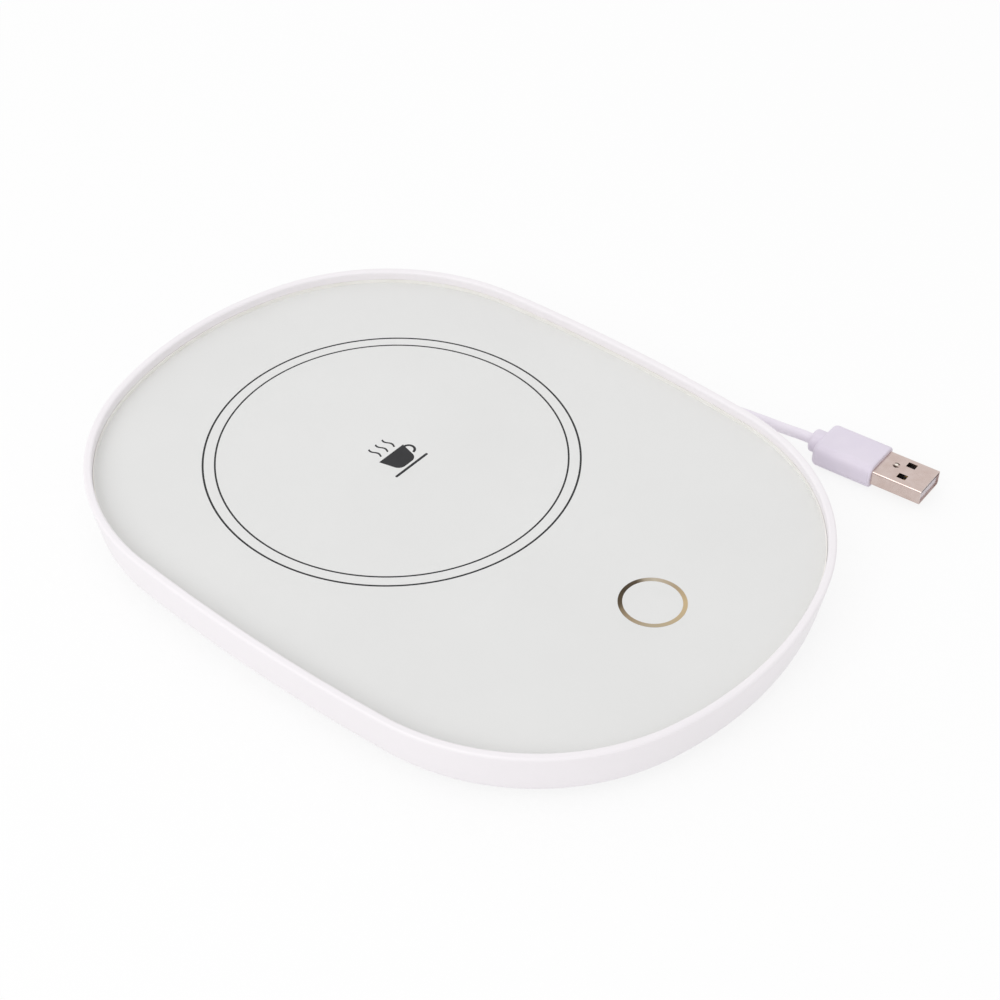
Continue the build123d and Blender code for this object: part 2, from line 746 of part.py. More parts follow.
rest_z = cord_radius
landing_z = rest_z + 0.2
landing_y = grommet_exit[1] + (grommet_exit[2] - landing_z) / grommet_slope
lead_in_points = [
    grommet_exit,
    (pocket_x, landing_y, landing_z),
    (2.9, -14.0, rest_z + 0.1),
    (5.1, 0.6, coil_z),
    (coil_entry[0], coil_entry[1], coil_z),
]
lead_out_points = [
    (coil_exit[0], coil_exit[1], coil_z),
    (5.0, 40.0, coil_z),
    (27.0, 33.0, rest_z),
    (48.0, 22.0, rest_z),
    (65.0, 8.0, rest_z),
    (77.4, -6.2, rest_z),
    (84.2, -17.0, rest_z),
    (87.7, -27.6, rest_z),
    (89.3, -37.4, rest_z + 0.1),
    (88.9, -45.1, 2.9),
    (88.6, -49.7, plug_z),
    (plug_tail.X, plug_tail.Y, plug_z),
]


def cord_lead_in():
    """Cord from the grommet's nose to the coil."""
    return reported_tube("cord_lead_in", lead_in_points)


def cord_lead_out():
    """Cord from the coil, out from under the right-hand edge, to the plug."""
    return reported_tube("cord_lead_out", lead_out_points)


def reported_tube(name, points):
    """A tube, with its arc radii printed, and its volume beside its section times its length."""
    radii = bend_radii(points)
    solid, length = tube(points, cord_radius, radii)
    print(name, "radii", [round(radius, 1) for radius in radii], "length", round(length, 1))
    print(name, "volume", round(solid.volume, 1), "section x length",
          round(math.pi * cord_radius**2 * length, 1))
    return solid


def coil_notch(angle, radius):
    """Cutter for the room in which a lead runs beside the coil, up to the strand that it joins."""
    inner = radius - cord_radius - lead_clearance
    reach = 2 * coil_outer_radius
    notch = Pos(inner + reach / 2, -reach / 2, coil_z) * Box(reach, reach, 2 * cord_diameter)
    return Pos(coil_x, coil_y, 0) * Rot(0, 0, angle) * notch


def cord_coil():
    """Outer shape of the flat double coil: one cord high, with the two eyes of its S."""
    low = coil_z - cord_radius
    high = coil_z + cord_radius
    coil = disc(coil_centre, coil_outer_radius + cord_radius, low, high)
    for side in (0.0, 180.0):
        eye = polar(coil_centre, coil_fold_radius, side)
        coil -= disc(eye, coil_fold_radius - cord_radius - 0.2, low - 1, high + 1)
    for side in (0.0, 180.0):
        beyond = slab((tie_end + cord_diameter, 0), (2 * cord_diameter, tie_width + 1), low - 1, high + 1)
        coil -= Pos(coil_x, coil_y, 0) * Rot(0, 0, side) * beyond
    coil -= coil_notch(coil_entry_angle, coil_entry_radius)
    return coil - coil_notch(coil_exit_angle, coil_outer_radius)


def coil_ties():
    """Two flat wire ties that hold the strands side by side."""
    low = coil_z - cord_radius - tie_thickness - tie_play
    high = coil_z + cord_radius + tie_thickness + tie_play
    middle = (tie_start + tie_end) / 2
    window = tie_end - tie_start
    ties = []
    for side in (0.0, 180.0):
        band = slab((middle, 0), (window + 2 * tie_thickness, tie_width), low, high)
        band -= slab((middle, 0), (window, tie_width + 1), low + tie_thickness, high - tie_thickness)
        ties.append(Pos(coil_centre[0], coil_centre[1], 0) * Rot(0, 0, side) * band)
    return Compound(ties)


# ---- plug, modelled along +X from the mouth of the grip, then laid on the table ----
plug_place = Pos(plug_base) * Rot(0, 0, plug_yaw) * Rot(plug_roll, 0, 0)


def rounded_bar(start, end, width, height, corner):
    """Bar along X with four rounded long edges."""
    bar = Pos((start + end) / 2, 0, 0) * Box(end - start, width, height)
    return fillet(bar.edges().filter_by(Axis.X), corner)


def latch_holes(level):
    """Cutters for the two square latch windows through one flat side of the shell."""
    return [Pos(latch_hole_x, side * latch_hole_y, level) *
            Box(latch_hole_length, latch_hole_width, 1.2) for side in (-1, 1)]


def plug_shell():
    """Folded steel shell, open at the tip, with two latch windows on each flat side."""
    outer = rounded_bar(-shell_buried, shell_length, shell_width, shell_height, shell_corner)
    inner = rounded_bar(-shell_buried - 1, shell_length + 1, shell_width - 2 * shell_wall,
                        shell_height - 2 * shell_wall, shell_corner - shell_wall)
    shell = outer - inner
    for level in (-shell_height / 2, shell_height / 2):
        for cutter in latch_holes(level):
            shell -= cutter
    shell -= Pos(shell_length / 2, 0, -shell_height / 2) * Box(2 * shell_length, shell_seam, 1.0)
    dimple_z = shell_height / 2 + dimple_sphere - dimple_depth
    return plug_place * (shell - Pos(dimple_x, 0, dimple_z) * Sphere(dimple_sphere))


def plug_tongue():
    """Insulating tongue on the lower side of the shell."""
    low = -shell_height / 2 + shell_wall
    length = shell_length - tongue_setback + shell_buried
    middle = Pos(length / 2 - shell_buried, 0, low + tongue_thickness / 2)
    tongue = middle * Box(length, shell_width - 2 * shell_wall, tongue_thickness)
    tongue = fillet(tongue.edges().filter_by(Axis.X).group_by(Axis.Z)[0], shell_corner - shell_wall)
    for place in contact_places():
        tongue -= contact_blank(place)
    return plug_place * tongue


def contact_places():
    """Sideways place and length of each of the four contacts: the outer two are longer."""
    inner_length = contact_length - contact_step
    lengths = (contact_length, inner_length, inner_length, contact_length)
    return [(step * contact_spacing, length) for step, length in zip((-1.5, -0.5, 0.5, 1.5), lengths)]


def contact_blank(place):
    """One flat contact let into the top of the tongue."""
    top = -shell_height / 2 + shell_wall + tongue_thickness
    middle = Pos(shell_length - contact_setback - place[1] / 2, place[0], top - contact_thickness / 2)
    return middle * Box(place[1], contact_width, contact_thickness)


def plug_contacts():
    """Four gold-plated contacts."""
    return Compound([plug_place * contact_blank(place) for place in contact_places()])


def plug_grip():
    """Moulded grip round the back of the shell, with shoulders and a short collar."""
    grip = Pos(-grip_length / 2, 0, 0) * Box(grip_length, grip_width, grip_height)
    grip = fillet(grip.edges().filter_by(Axis.X), grip_edge)
    grip = fillet(grip.edges().group_by(Axis.X)[0], grip_shoulder)
    grip = fillet(grip.edges().group_by(Axis.X)[-1], grip_mouth_edge)
    section = Ellipse(collar_width / 2, collar_height / 2)
    collar = extrude(Plane.YZ.offset(-grip_length - collar_length) * section, collar_length + 1.0)
    grip += fillet(collar.edges().group_by(Axis.X)[0], collar_edge)
    grip -= rounded_bar(-shell_buried, 1.0, shell_width, shell_height, shell_corner)
    return plug_place * grip


parts = {
    "housing": housing(),
    "glass_panel": glass_panel(),
    "glass_adhesive": glass_adhesive(),
    "heat_spreader": heat_spreader(),
    "heater_foil": heater_foil(),
    "insulation_pad": insulation_pad(),
    "heater_clamp": heater_clamp(),
    "clamp_screws": clamp_screws(),
    "thermistor": thermistor(),
    "thermal_fuse": thermal_fuse(),
    "control_board": control_board(),
    "board_screws": board_screws(),
    "microcontroller": microcontroller(),
    "power_transistor": power_transistor(),
    "capacitors": capacitors(),
    "resistors": resistors(),
    "status_led": status_led(),
    "touch_spring": touch_spring(),
    "heater_leads": heater_leads(),
    "sensor_leads": sensor_leads(),
    "supply_leads": supply_leads(),
    "bottom_cover": bottom_cover(),
    "cover_screws": cover_screws(),
    "cord_grommet": cord_grommet(),
    "cord_inner": cord_inner(),
    "cord_clamp": cord_clamp(),
    "cord_clamp_screws": cord_clamp_screws(),
    "cord_lead_in": cord_lead_in(),
    "cord_coil": cord_coil(),
    "coil_ties": coil_ties(),
    "cord_lead_out": cord_lead_out(),
    "plug_grip": plug_grip(),
    "plug_shell": plug_shell(),
    "plug_tongue": plug_tongue(),
    "plug_contacts": plug_contacts(),
}
for name, point in foot_names.items():
    parts[name] = foot(point)

os.makedirs("parts", exist_ok=True)
for name, shape in parts.items():
    export_step(shape, f"parts/{name}.step")
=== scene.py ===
import bpy
import math
from mathutils import Matrix, Vector


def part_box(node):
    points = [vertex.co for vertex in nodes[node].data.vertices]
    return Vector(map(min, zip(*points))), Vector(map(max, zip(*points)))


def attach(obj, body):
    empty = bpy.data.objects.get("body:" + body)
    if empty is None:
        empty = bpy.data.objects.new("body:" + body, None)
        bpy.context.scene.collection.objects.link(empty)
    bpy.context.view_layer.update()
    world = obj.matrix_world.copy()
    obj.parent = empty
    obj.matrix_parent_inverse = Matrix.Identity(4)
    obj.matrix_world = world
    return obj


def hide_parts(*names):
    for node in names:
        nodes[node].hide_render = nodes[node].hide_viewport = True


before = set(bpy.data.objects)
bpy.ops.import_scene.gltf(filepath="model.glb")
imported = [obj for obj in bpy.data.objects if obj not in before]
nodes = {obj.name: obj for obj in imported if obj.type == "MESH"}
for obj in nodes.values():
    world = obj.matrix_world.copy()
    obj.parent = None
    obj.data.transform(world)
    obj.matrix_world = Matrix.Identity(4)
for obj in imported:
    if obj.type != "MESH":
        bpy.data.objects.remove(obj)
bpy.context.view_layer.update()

# Sizes are written in millimetres, and MM turns them to metres.
MM = 0.001

# ---------------------------------------------------------------------------
# Camera: a long lens looks down on the plate from the front left, over the long side that
# faces away from the cord. It aims just beside the middle of the glass.
# ---------------------------------------------------------------------------
view_azimuth = math.radians(-50.226)
view_elevation = math.radians(42.068)
view_roll = math.radians(0.329)
view_distance = 552.4 * MM
view_target = Vector((4.5, -11.9, 15.6)) * MM
lens_length = 77.276
film_width = 36.0
nearest_seen = 10 * MM

back = Vector((math.sin(view_azimuth) * math.cos(view_elevation),
               -math.cos(view_azimuth) * math.cos(view_elevation),
               math.sin(view_elevation)))
level_right = (-back).cross(Vector((0, 0, 1))).normalized()
level_up = back.cross(level_right)
right = level_right * math.cos(view_roll) + level_up * math.sin(view_roll)
up = level_up * math.cos(view_roll) - level_right * math.sin(view_roll)
lens = bpy.data.cameras.new("camera")
lens.sensor_width = film_width
lens.lens = lens_length
lens.clip_start = nearest_seen
camera = bpy.data.objects.new("camera", lens)
bpy.context.scene.collection.objects.link(camera)
turn = Matrix((right, up, back)).transposed().to_4x4()
camera.matrix_world = Matrix.Translation(view_target + back * view_distance) @ turn
bpy.context.scene.camera = camera

# ---------------------------------------------------------------------------
# Cord: a limp two-core lead in a soft lavender-white PVC jacket, 3 mm thick. It leaves the
# grommet in the base, is wound as a flat double coil between the feet, held by two ties, and
# comes out under the right-hand edge to its plug.
# ---------------------------------------------------------------------------
cord_radius = 1.5
coil_centre = (-25.0, 15.0)
coil_height = 1.8
coil_fold = 8.85
coil_pitch = 3.1
coil_step = 20
eye_step = 30
half_turn = 180
full_turn = 360
inward_turn = 720
outward_turn = 825
lead_in = [(2.0, -38.0, 4.5), (2.0, -27.97, 1.7), (2.9, -14.0, 1.6), (5.1, 0.6, 1.8)]
lead_out = [(5.0, 40.0, 1.8), (27.0, 33.0, 1.5), (48.0, 22.0, 1.5), (65.0, 8.0, 1.5),
            (77.4, -6.2, 1.5), (84.2, -17.0, 1.5), (87.7, -27.6, 1.5), (89.3, -37.4, 1.6),
            (88.9, -45.1, 2.9), (88.6, -49.7, 4.03), (88.91, -53.15, 4.03)]


def coil_point(radius, angle, side=0.0):
    """Point of the coil at a radius and angle about its middle, or about one of its eyes."""
    turned = math.radians(angle)
    return (coil_centre[0] + side + radius * math.cos(turned),
            coil_centre[1] + radius * math.sin(turned), coil_height)


def arm_radius(wound):
    """Radius of an arm of the spiral after so many degrees from the S in the middle."""
    return 2 * coil_fold + 2 * coil_pitch * wound / full_turn


# Inwards along one arm, through the S round the two eyes, and outwards along the other arm.
coil = [coil_point(arm_radius(inward_turn - angle), angle)
        for angle in range(0, inward_turn + 1, coil_step)]
coil += [coil_point(coil_fold, angle, coil_fold)
         for angle in range(eye_step, half_turn, eye_step)]
coil += [coil_point(0, 0)]
coil += [coil_point(coil_fold, angle, -coil_fold)
         for angle in range(-eye_step, -half_turn, -eye_step)]
coil += [coil_point(arm_radius(angle), half_turn - angle)
         for angle in range(0, outward_turn, coil_step)]
coil += [coil_point(arm_radius(outward_turn), half_turn - outward_turn)]

line = bpy.data.curves.new("cord", "CURVE")
line.dimensions = "3D"
spline = line.splines.new("NURBS")
route = lead_in + coil + lead_out
spline.points.add(len(route) - 1)
for point, place in zip(spline.points, route):
    point.co = (place[0] * MM, place[1] * MM, place[2] * MM, 1.0)
spline.order_u = 3
spline.use_endpoint_u = True
spline.resolution_u = 6
line.bevel_depth = cord_radius * MM
line.bevel_resolution = 5
line.use_fill_caps = True
cord = bpy.data.objects.new("cord", line)
bpy.context.scene.collection.objects.link(cord)


def add_node(tree, kind, inputs=None, **settings):
    """One shader node with its settings, and its inputs set or linked."""
    node = tree.nodes.new(kind)
    for name, value in settings.items():
        setattr(node, name, value)
    for name, value in (inputs or {}).items():
        if isinstance(value, bpy.types.NodeSocket):
            tree.links.new(value, node.inputs[name])
        else:
            node.inputs[name].default_value = value
    return node


def colour(code):
    """An sRGB hex code as a linear RGBA colour."""
    parts = [int(code[place:place + 2], 16) / 255 for place in (1, 3, 5)]
    return [p / 12.92 if p <= 0.04045 else ((p + 0.055) / 1.055) ** 2.4 for p in parts] + [1.0]


def new_finish(name, base, roughness, **shader_values):
    """A material with its shader's own values set, ready for its pattern."""
    finish = bpy.data.materials.new(name)
    finish.use_nodes = True
    shader = finish.node_tree.nodes["Principled BSDF"]
    shader.inputs["Base Color"].default_value = colour(base)
    shader.inputs["Roughness"].default_value = roughness
    for socket, value in shader_values.items():
        shader.inputs[socket.replace("_", " ")].default_value = value
    return finish


def inside(finish):
    """The tree of a finish, its shader, and a socket with the place on the piece."""
    tree = finish.node_tree
    place = add_node(tree, "ShaderNodeTexCoord")
    return tree, tree.nodes["Principled BSDF"], place.outputs["Object"]


# Noise rarely leaves the middle of its range, so a pattern is spread over these shares of it.
shade_span = (0.35, 0.65)
gloss_span = (0.3, 0.7)


def drift(finish, one, other, size_mm, stretch=(1, 1, 1), detail=3.0):
    """Slow change between two close shades, of the given size, as one batch of stock has."""
    tree, shader, place = inside(finish)
    drawn = add_node(tree, "ShaderNodeMapping", {"Vector": place, "Scale": stretch})
    noise = add_node(tree, "ShaderNodeTexNoise", {
        "Vector": drawn.outputs[0], "Scale": 1 / (size_mm * MM), "Detail": detail})
    ramp = add_node(tree, "ShaderNodeValToRGB", {"Fac": noise.outputs["Fac"]})
    for stop, position, shade in zip(ramp.color_ramp.elements, shade_span, (one, other)):
        stop.position = position
        stop.color = colour(shade)
    tree.links.new(ramp.outputs["Color"], shader.inputs["Base Color"])


def grain(finish, size_mm, depth_mm, stretch=(1, 1, 1)):
    """Surface relief with bumps of the given size and depth, drawn out where stretched."""
    tree, shader, place = inside(finish)
    drawn = add_node(tree, "ShaderNodeMapping", {"Vector": place, "Scale": stretch})
    noise = add_node(tree, "ShaderNodeTexNoise", {
        "Vector": drawn.outputs[0], "Scale": 1 / (size_mm * MM), "Detail": 2.0})
    bump = add_node(tree, "ShaderNodeBump", {
        "Height": noise.outputs["Fac"], "Strength": 1.0, "Distance": depth_mm * MM})
    tree.links.new(bump.outputs["Normal"], shader.inputs["Normal"])


def gloss_patches(finish, low, high, size_mm):
    """Roughness that wanders between two values, from handling and from the tool."""
    tree, shader, place = inside(finish)
    noise = add_node(tree, "ShaderNodeTexNoise", {
        "Vector": place, "Scale": 1 / (size_mm * MM), "Detail": 3.0})
    gloss = add_node(tree, "ShaderNodeMapRange", {
        "Value": noise.outputs["Fac"], "From Min": gloss_span[0], "From Max": gloss_span[1],
        "To Min": low, "To Max": high})
    tree.links.new(gloss.outputs["Result"], shader.inputs["Roughness"])


def coat(finish, *names):
    """Gives CAD nodes their finish."""
    for name in names:
        mesh = nodes[name].data
        mesh.materials.clear()
        mesh.materials.append(finish)


# Plasticised PVC, extruded: even and soft, half matt, with the faint ripple of the die.
jacket_pvc = new_finish("extruded_soft_pvc", "#F1EAF4", roughness=0.42)
drift(jacket_pvc, "#EFE8F3", "#F3EDF6", size_mm=9.0)
grain(jacket_pvc, size_mm=0.35, depth_mm=0.01)
gloss_patches(jacket_pvc, low=0.38, high=0.5, size_mm=5.0)
line.materials.append(jacket_pvc)
coat(jacket_pvc, "cord_inner")
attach(cord, "root")
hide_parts("cord_lead_in", "cord_coil", "cord_lead_out")

# ---------------------------------------------------------------------------
# Ties: two flat strips of white polyethylene with a wire inside, folded round the strands on
# both sides of the coil and pressed flat.
# ---------------------------------------------------------------------------
# Extruded polyethylene: waxy white, with fine lines along the strip.
tie_strip = new_finish("extruded_polyethylene", "#ECECEF", roughness=0.4)
drift(tie_strip, "#E8E8EC", "#F0F0F2", size_mm=5.0)
grain(tie_strip, size_mm=0.3, depth_mm=0.02, stretch=(0.1, 1, 1))
coat(tie_strip, "coil_ties")

# ---------------------------------------------------------------------------
# Housing: the one-piece injection-moulded tray in white ABS. Its wall leans in towards the
# table and its rim stands proud round the glass.
# ---------------------------------------------------------------------------
# ABS from a polished tool: bright white, smooth and half glossy, with a very faint orange peel.
white_abs = new_finish("polished_abs", "#F2EEF1", roughness=0.34)
drift(white_abs, "#F1EDF0", "#F3EFF2", size_mm=60.0)
grain(white_abs, size_mm=5.0, depth_mm=0.004)
gloss_patches(white_abs, low=0.31, high=0.37, size_mm=30.0)
coat(white_abs, "housing")

# ---------------------------------------------------------------------------
# Glass: the toughened top, 3 mm of float glass with ground edges. It lies inside the rim, on
# the tray's deck, and a film bonds it there.
# ---------------------------------------------------------------------------
# Float glass: clear, flat and mirror-smooth, with the slight green of iron in the melt. The
# last wipe with a cloth leaves a haze that shows only at a low angle.
float_glass = new_finish("toughened_float_glass", "#FAFBFA", roughness=0.0,
                         Transmission_Weight=1.0, IOR=1.52)
gloss_patches(float_glass, low=0.0, high=0.03, size_mm=35.0)

# Light from the room and the lamps passes straight through to the print and the film.
tree, shader, place = inside(float_glass)
rays = add_node(tree, "ShaderNodeLightPath")
passing = add_node(tree, "ShaderNodeMath", {
    0: rays.outputs["Is Shadow Ray"], 1: rays.outputs["Is Diffuse Ray"]}, operation="MAXIMUM")
clear = add_node(tree, "ShaderNodeBsdfTransparent", {"Color": (0.98, 0.985, 0.98, 1)})
pane = add_node(tree, "ShaderNodeMixShader", {
    0: passing.outputs[0], 1: shader.outputs["BSDF"], 2: clear.outputs[0]})
tree.links.new(pane.outputs[0], tree.nodes["Material Output"].inputs["Surface"])
coat(float_glass, "glass_panel")

# ---------------------------------------------------------------------------
# White print: a coat of opaque enamel screen-printed on the underside of the glass. It runs out
# to the ground edge, where only a hair of bare glass is left.
# ---------------------------------------------------------------------------
glass_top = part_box("glass_panel")[1].z
print_margin = 0.02 * MM
print_lift = 0.02 * MM
print_thickness = 0.02 * MM
merge_distance = 0.001 * MM

# A face counts as level where its normal points up or down by more than this share.
level_normal = 0.9


def copy_of_node(name, new_name):
    """A new object on a merged copy of a CAD node's mesh, alone in the selection."""
    bpy.ops.object.select_all(action="DESELECT")
    piece = bpy.data.objects.new(new_name, nodes[name].data.copy())
    bpy.context.scene.collection.objects.link(piece)
    piece.data.materials.clear()
    piece.select_set(True)
    bpy.context.view_layer.objects.active = piece
    bpy.ops.mesh.customdata_custom_splitnormals_clear()
    bpy.ops.object.mode_set(mode="EDIT")
    bpy.ops.mesh.select_all(action="SELECT")
    bpy.ops.mesh.remove_doubles(threshold=merge_distance)
    bpy.ops.object.mode_set(mode="OBJECT")
    return piece


def pick_faces(piece, wanted):
    """Opens the piece and selects the faces whose normal passes the test."""
    bpy.ops.object.mode_set(mode="EDIT")
    bpy.ops.mesh.select_mode(type="FACE")
    bpy.ops.mesh.select_all(action="DESELECT")
    bpy.ops.object.mode_set(mode="OBJECT")
    for face in piece.data.polygons:
        face.select = wanted(face.normal)
    bpy.ops.object.mode_set(mode="EDIT")


def keep_picked():
    """In edit mode, deletes the faces that aren't selected and selects the rest."""
    bpy.ops.mesh.select_all(action="INVERT")
    bpy.ops.mesh.delete(type="FACE")
    bpy.ops.mesh.select_all(action="SELECT")


def close_piece():
    """In edit mode, turns every face outwards and closes the piece for editing."""
    bpy.ops.mesh.select_all(action="SELECT")
    bpy.ops.mesh.normals_make_consistent(inside=False)
    bpy.ops.object.mode_set(mode="OBJECT")


def raise_print(thickness):
    """In edit mode, gives the selected flat faces a thickness upwards and closes the piece."""
    bpy.ops.mesh.extrude_region_move(TRANSFORM_OT_translate={"value": (0, 0, thickness)})
    close_piece()
    bpy.ops.object.shade_flat()


def fit_piece(piece, finish):
    """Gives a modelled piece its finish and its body."""
    piece.data.materials.append(finish)
    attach(piece, "root")


enamel_sheet = copy_of_node("glass_panel", "glass_print")
pick_faces(enamel_sheet, lambda normal: normal.z < -level_normal)
keep_picked()
bpy.ops.mesh.dissolve_limited(angle_limit=math.radians(1))
bpy.ops.mesh.inset(thickness=print_margin, use_boundary=True, use_even_offset=True)
keep_picked()
bpy.ops.transform.translate(value=(0, 0, print_lift))
raise_print(print_thickness)

# Ceramic enamel, screen-printed and fired: opaque warm white and quite matt behind the glass.
white_enamel = new_finish("fired_white_enamel", "#E6E5E5", roughness=0.55)
drift(white_enamel, "#E5E4E4", "#E7E6E6", size_mm=40.0)
grain(white_enamel, size_mm=0.4, depth_mm=0.002)
fit_piece(enamel_sheet, white_enamel)

# ---------------------------------------------------------------------------
# Zone rings: two fine circles of ceramic ink round the hot zone. They are screen-printed on
# the glass and fired into it, so that no mug rubs them off.
# ---------------------------------------------------------------------------
zone_centre = Vector((0.0, 21.4, 0.0)) * MM
ink_thickness = 0.02 * MM
ring_steps = 256
zone_rings = (("zone_ring_outer", 49.95, 0.53), ("zone_ring_inner", 46.75, 0.48))


def printed_ring(name, centre, outer_radius, width, thickness):
    """A flat ring on the glass: a filled circle, inset by its width, emptied and raised."""
    bpy.ops.object.select_all(action="DESELECT")
    bpy.ops.mesh.primitive_circle_add(vertices=ring_steps, radius=outer_radius, fill_type="NGON",
                                      location=(centre.x, centre.y, glass_top))
    bpy.ops.object.transform_apply(location=True, rotation=True, scale=True)
    ring = bpy.context.object
    ring.name = name
    bpy.ops.object.mode_set(mode="EDIT")
    bpy.ops.mesh.select_mode(type="FACE")
    bpy.ops.mesh.select_all(action="SELECT")
    bpy.ops.mesh.inset(thickness=width, use_boundary=True)
    bpy.ops.mesh.delete(type="FACE")
    bpy.ops.mesh.select_all(action="SELECT")
    raise_print(thickness)
    return ring


def cast_no_shade(mark):
    """A mark that is fused into the glass leaves no shadow or grey halo on the coat below."""
    mark.visible_shadow = False
    mark.visible_diffuse = False


# Ceramic ink, screen-printed and fired: near black, dense, a little duller than the glass.
black_ink = new_finish("fired_black_ink", "#121217", roughness=0.35, Specular_IOR_Level=0.4)
drift(black_ink, "#0F0F13", "#17171C", size_mm=3.0)
grain(black_ink, size_mm=0.15, depth_mm=0.003)

for ring_name, ring_radius, line_width in zone_rings:
    ring = printed_ring(ring_name, zone_centre, ring_radius * MM, line_width * MM, ink_thickness)
    fit_piece(ring, black_ink)
    cast_no_shade(ring)

# ---------------------------------------------------------------------------
# Cup mark: a plain pictogram of a steaming cup on its saucer, in the same fired ink, in the
# middle of the hot zone. It says what the zone is for.
# ---------------------------------------------------------------------------
cup_top_y = 21.8
cup_width = 9.4
cup_height = 6.2
cup_taper = 0.66
cup_corner = 1.7
handle_radius = 2.0
handle_line = 0.7
handle_drop = 2.4
handle_bite = 0.5
cut_tolerance = 0.0001
saucer_gap = 0.7
saucer_width = 12.4
saucer_line = 0.75
saucer_rounding = 0.48
wisp_gap = 1.1
wisp_spacing = 2.6
wisp_line = 0.55
wisp_length = 4.4
wisp_swing = 0.4
wisp_steps = 18


def ink_plate(name, x, low_y, width, length):
    """A flat rectangle on the glass, in millimetres, open for editing with all selected."""
    bpy.ops.object.select_all(action="DESELECT")
    middle_y = low_y + length / 2
    bpy.ops.mesh.primitive_plane_add(size=1.0, location=(x * MM, middle_y * MM, glass_top))
    plate = bpy.context.object
    plate.name = name
    plate.scale = (width * MM, length * MM, 1.0)
    bpy.ops.object.transform_apply(location=True, rotation=True, scale=True)
    bpy.ops.object.mode_set(mode="EDIT")
    bpy.ops.mesh.select_mode(type="VERT")
    bpy.ops.mesh.select_all(action="SELECT")
    return plate


def pick_points(piece, wanted):
    """Selects the points of the open piece whose y, in metres, passes the test."""
    bpy.ops.mesh.select_mode(type="VERT")
    bpy.ops.mesh.select_all(action="DESELECT")
    bpy.ops.object.mode_set(mode="OBJECT")
    for point in piece.data.vertices:
        point.select = wanted(point.co.y)
    bpy.ops.object.mode_set(mode="EDIT")


def apply_boolean(piece, tool, operation):
    """Joins a tool's solid to the piece or cuts it out, and removes the tool."""
    bpy.ops.object.select_all(action="DESELECT")
    piece.select_set(True)
    bpy.context.view_layer.objects.active = piece
    modifier = piece.modifiers.new("boolean", "BOOLEAN")
    modifier.operation = operation
    modifier.solver = "EXACT"
    modifier.object = tool
    bpy.ops.object.modifier_apply(modifier=modifier.name)
    bpy.data.objects.remove(tool)


cup_low_y = cup_top_y - cup_height
cup = ink_plate("cup_mark", 0.0, cup_low_y, cup_width, cup_height)
pick_points(cup, lambda y: y < (cup_low_y + cup_height / 2) * MM)
bpy.ops.transform.resize(value=(cup_taper, 1, 1))
bpy.ops.mesh.bevel(offset=cup_corner * MM, segments=8, affect="VERTICES")
bpy.ops.mesh.select_all(action="SELECT")
raise_print(ink_thickness)

handle_centre = Vector((cup_width / 2 - handle_bite, cup_top_y - handle_drop, 0.0)) * MM
handle = printed_ring("cup_handle", handle_centre, handle_radius * MM, handle_line * MM, ink_thickness)
bpy.ops.object.mode_set(mode="EDIT")
bpy.ops.mesh.select_all(action="SELECT")
bpy.ops.mesh.bisect(plane_co=handle_centre, plane_no=(-1, 0, 0), clear_outer=True, use_fill=True,
                    threshold=cut_tolerance * MM)
bpy.ops.object.mode_set(mode="OBJECT")
apply_boolean(cup, handle, "UNION")

marks = [cup]
saucer_low_y = cup_low_y - saucer_gap - saucer_line
marks.append(ink_plate("cup_saucer", 0.0, saucer_low_y, saucer_width, saucer_line))
bpy.ops.mesh.bevel(offset=saucer_line * saucer_rounding * MM, segments=6, affect="VERTICES")
bpy.ops.mesh.select_all(action="SELECT")
raise_print(ink_thickness)

wisp_low_y = cup_top_y + wisp_gap
wisp_rise = wisp_length / wisp_steps
for number in (-1, 0, 1):
    wisp = ink_plate("steam_wisp", number * wisp_spacing, wisp_low_y, wisp_line, wisp_rise)
    pick_points(wisp, lambda y: y > (wisp_low_y + wisp_rise / 2) * MM)
    for step in range(1, wisp_steps):
        swing = math.sin(math.tau * step / wisp_steps) - math.sin(math.tau * (step - 1) / wisp_steps)
        shift = (wisp_swing * swing * MM, wisp_rise * MM, 0)
        bpy.ops.mesh.extrude_region_move(TRANSFORM_OT_translate={"value": shift})
    bpy.ops.mesh.select_all(action="SELECT")
    raise_print(ink_thickness)
    marks.append(wisp)

bpy.ops.object.select_all(action="DESELECT")
for mark in marks:
    mark.select_set(True)
bpy.context.view_layer.objects.active = cup
bpy.ops.object.join()
fit_piece(cup, black_ink)
cast_no_shade(cup)

# ---------------------------------------------------------------------------
# Touch ring: a raised band of gold-toned metal foil round the key, so that a finger finds it.
# It is hot-stamped on the glass, and its edges are rounded.
# ---------------------------------------------------------------------------
key_centre = Vector((0.0, -64.4, 0.0)) * MM
key_radius = 8.6
key_line = 1.15
key_height = 0.12
key_edge = 0.05
fleck_size = 2.4
fleck_share = 0.05
# Painted reflection round the ring: its tone at the wrap, and its stops by share of the turn.
wrap_reflection_tone = "#A39178"
painted_reflection_tones = ((0.12, "#B5A78F"), (0.38, "#C9B28C"), (0.50, "#AF9C81"), (0.62, "#C0B5A3"),
              (0.675, "#A89C8A"), (0.71, "#5B4F41"), (0.80, "#4B4135"), (0.90, "#5F5343"),
              (0.95, "#8A7A63"))


def round_edges(piece, width, segments, sharp):
    """Rounds the edges of the active piece that turn by more than so many degrees."""
    edge = piece.modifiers.new("edge", "BEVEL")
    edge.width = width
    edge.segments = segments
    edge.limit_method = "ANGLE"
    edge.angle_limit = math.radians(sharp)
    bpy.ops.object.modifier_apply(modifier=edge.name)


key_ring = printed_ring("touch_ring", key_centre, key_radius * MM, key_line * MM, key_height * MM)
round_edges(key_ring, key_edge * MM, segments=2, sharp=50)
